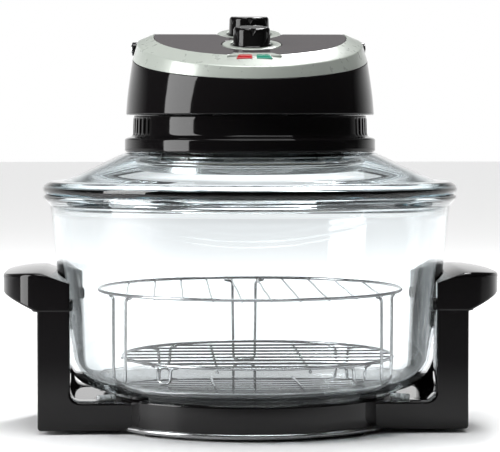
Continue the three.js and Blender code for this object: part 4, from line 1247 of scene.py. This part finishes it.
@dataclass
class Studio:
    """Pale seamless floor, white surroundings behind, one tall soft light at the left and one overhead."""

    azimuth: float = -2.5
    distance: float = 1.84
    height: float = 0.2416
    pitch: float = 2.6
    lens: float = 165.6
    wall_start: float = 0.3
    wall_full: float = 0.88
    wall_top: float = 0.12
    wall_fade: float = 0.34
    ceiling_glow: float = 0.17
    room_glow: float = 0.04
    sweep_start: float = 0.35
    sweep_full: float = 1.6
    sweep_glow: float = 0.7

    def build(self) -> None:
        """Builds the camera, the floor, the lights and the surroundings."""
        self.camera()
        self.floor()
        self.soft_light("left_strip", -71.0, 1.25, 0.42, (0.62, 1.5), 26.0)
        self.soft_light("high_rear_right", 161.0, 0.98, 1.56, (0.34, 0.5), 22.0)
        self.soft_light("overhead", 20.0, 0.3, 2.1, (1.4, 1.4), 48.0)
        self.surroundings()

    def camera(self) -> None:
        """Puts the camera in front, a little to the left, looking slightly down."""
        data = bpy.data.cameras.new("camera")
        data.lens = self.lens
        data.sensor_width = 36.0
        data.clip_start, data.clip_end = 0.05, 60.0
        camera = bpy.data.objects.new("camera", data)
        turn = radians(self.azimuth)
        camera.location = (sin(turn) * self.distance, -cos(turn) * self.distance, self.height)
        camera.rotation_euler = (radians(90 - self.pitch), 0.0, turn)
        bpy.context.scene.collection.objects.link(camera)
        bpy.context.scene.camera = camera

    def floor(self) -> None:
        """Lays a pale matt floor; towards the front its colour darkens to grey as painted shade, and well behind the
        object it glows up to white, like a lit sweep.
        """
        mesh = bpy.data.meshes.new("floor")
        reach = 12.0
        mesh.from_pydata([(-reach, -reach, 0), (reach, -reach, 0), (reach, reach, 0), (-reach, reach, 0)], [],
                         [(0, 1, 2, 3)])
        floor = bpy.data.objects.new("floor", mesh)
        material = bpy.data.materials.new("pale_floor")
        material.use_nodes = True
        shader = material.node_tree.nodes["Principled BSDF"]
        shader.inputs["Roughness"].default_value = 0.55
        nodes, links = material.node_tree.nodes, material.node_tree.links
        place = nodes.new("ShaderNodeTexCoord")
        split = nodes.new("ShaderNodeSeparateXYZ")
        links.new(place.outputs["Object"], split.inputs["Vector"])
        glow = nodes.new("ShaderNodeMapRange")
        glow.interpolation_type = "SMOOTHSTEP"
        glow.inputs["From Min"].default_value = self.sweep_start
        glow.inputs["From Max"].default_value = self.sweep_full
        glow.inputs["To Max"].default_value = self.sweep_glow
        links.new(split.outputs["Y"], glow.inputs["Value"])
        links.new(glow.outputs["Result"], shader.inputs["Emission Strength"])
        # Painted shade: the floor's colour darkens from pale to grey towards the front, where less light falls.
        fall = nodes.new("ShaderNodeMapRange")
        fall.interpolation_type = "SMOOTHSTEP"
        fall.inputs["From Min"].default_value = -0.65
        fall.inputs["From Max"].default_value = -0.2
        links.new(split.outputs["Y"], fall.inputs["Value"])
        shade = nodes.new("ShaderNodeMix")
        shade.data_type = "RGBA"
        shade.inputs[6].default_value = (0.24, 0.24, 0.245, 1.0)
        shade.inputs[7].default_value = (0.86, 0.865, 0.87, 1.0)
        links.new(fall.outputs["Result"], shade.inputs[0])
        links.new(shade.outputs[2], shader.inputs["Base Color"])
        shader.inputs["Emission Color"].default_value = (1.0, 1.0, 1.0, 1.0)
        mesh.materials.append(material)
        bpy.context.scene.collection.objects.link(floor)

    def soft_light(self, name: str, azimuth: float, distance: float, height: float,
                   size: tuple[float, float], power: float) -> None:
        """Adds one rectangular light aimed at the middle of the object.

        Args:
            name: the light's name.
            azimuth: its direction from the front, in degrees, positive to the right.
            distance: from the object's axis, in metres.
            height: above the floor, in metres.
            size: width and height, in metres.
            power: in watts.
        """
        data = bpy.data.lights.new(name, "AREA")
        data.shape = "RECTANGLE"
        data.size, data.size_y = size
        data.energy = power
        light = bpy.data.objects.new(name, data)
        turn = radians(azimuth)
        light.location = (sin(turn) * distance, -cos(turn) * distance, height)
        drop = height - 0.2
        light.rotation_euler = (pi / 2 - atan(drop / max(distance, 1e-6)), 0.0, turn)
        bpy.context.scene.collection.objects.link(light)

    def surroundings(self) -> None:
        """Sets the world: a white wall behind that fades with height and towards the front to a dim room."""
        world = bpy.data.worlds.new("studio")
        bpy.context.scene.world = world
        world.use_nodes = True
        nodes, links = world.node_tree.nodes, world.node_tree.links
        place = nodes.new("ShaderNodeTexCoord")
        split = nodes.new("ShaderNodeSeparateXYZ")
        links.new(place.outputs["Generated"], split.inputs["Vector"])
        fades = []
        for axis, start, full in (("Y", self.wall_start, self.wall_full), ("Z", self.wall_top, self.wall_fade)):
            fade = nodes.new("ShaderNodeMapRange")
            fade.interpolation_type = "SMOOTHSTEP"
            fade.inputs["From Min"].default_value = start
            fade.inputs["From Max"].default_value = full
            links.new(split.outputs[axis], fade.inputs["Value"])
            fades.append(fade)
        fades[1].inputs["To Min"].default_value = 1.0
        fades[1].inputs["To Max"].default_value = self.ceiling_glow
        wall = nodes.new("ShaderNodeMath")
        wall.operation = "MULTIPLY"
        links.new(fades[0].outputs["Result"], wall.inputs[0])
        links.new(fades[1].outputs["Result"], wall.inputs[1])
        lit = nodes.new("ShaderNodeMath")
        lit.operation = "MAXIMUM"
        lit.inputs[1].default_value = self.room_glow
        links.new(wall.outputs["Value"], lit.inputs[0])
        links.new(lit.outputs["Value"], nodes["Background"].inputs["Strength"])
        nodes["Background"].inputs["Color"].default_value = (1.0, 1.0, 1.0, 1.0)
        bpy.context.scene.view_settings.view_transform = "Standard"


def dress_inner_nodes(frame: dict) -> None:
    """Gives every CAD node that stays in view its finish.
    """
    by_slot = {finish.slot: finish for finish in (GREY_PLASTIC, STEEL, SATIN_SILVER)}
    inner = ("motor_body", "motor_shaft", "hot_air_fan", "cooling_fan", "heat_shield", "timer_module",
             "thermostat_module", "timer_shaft", "thermostat_shaft", "microswitch", "switch_plunger")
    slots = {row["node"]: row["material_slot"] for row in frame["record"]["subparts"]}
    for name in inner:
        mesh = frame["nodes"][name].data
        mesh.materials.clear()
        mesh.materials.append(by_slot[slots[name]].material())


def main() -> None:
    """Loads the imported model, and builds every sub-assembly on it."""
    logging.basicConfig(level=logging.INFO, format="%(name)s: %(message)s")
    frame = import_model()
    Studio().build()
    Stand().build()
    Bowl().build()
    Racks().build()
    LidGlass().build()
    head = PowerHead()
    head.build()
    Dial("timer", Body.TIMER, -31.0, 82.7, 9.0, 23.1, 14.5, 15.5).build(head.base)
    Dial("thermostat", Body.THERMOSTAT, 18.0, 92.4, 5.0, 25.6, 16.0, 16.0).build(head.base)
    Heater().build()
    CarryHandle().build(head.base)
    dress_inner_nodes(frame)


if __name__ == "__main__":
    main()
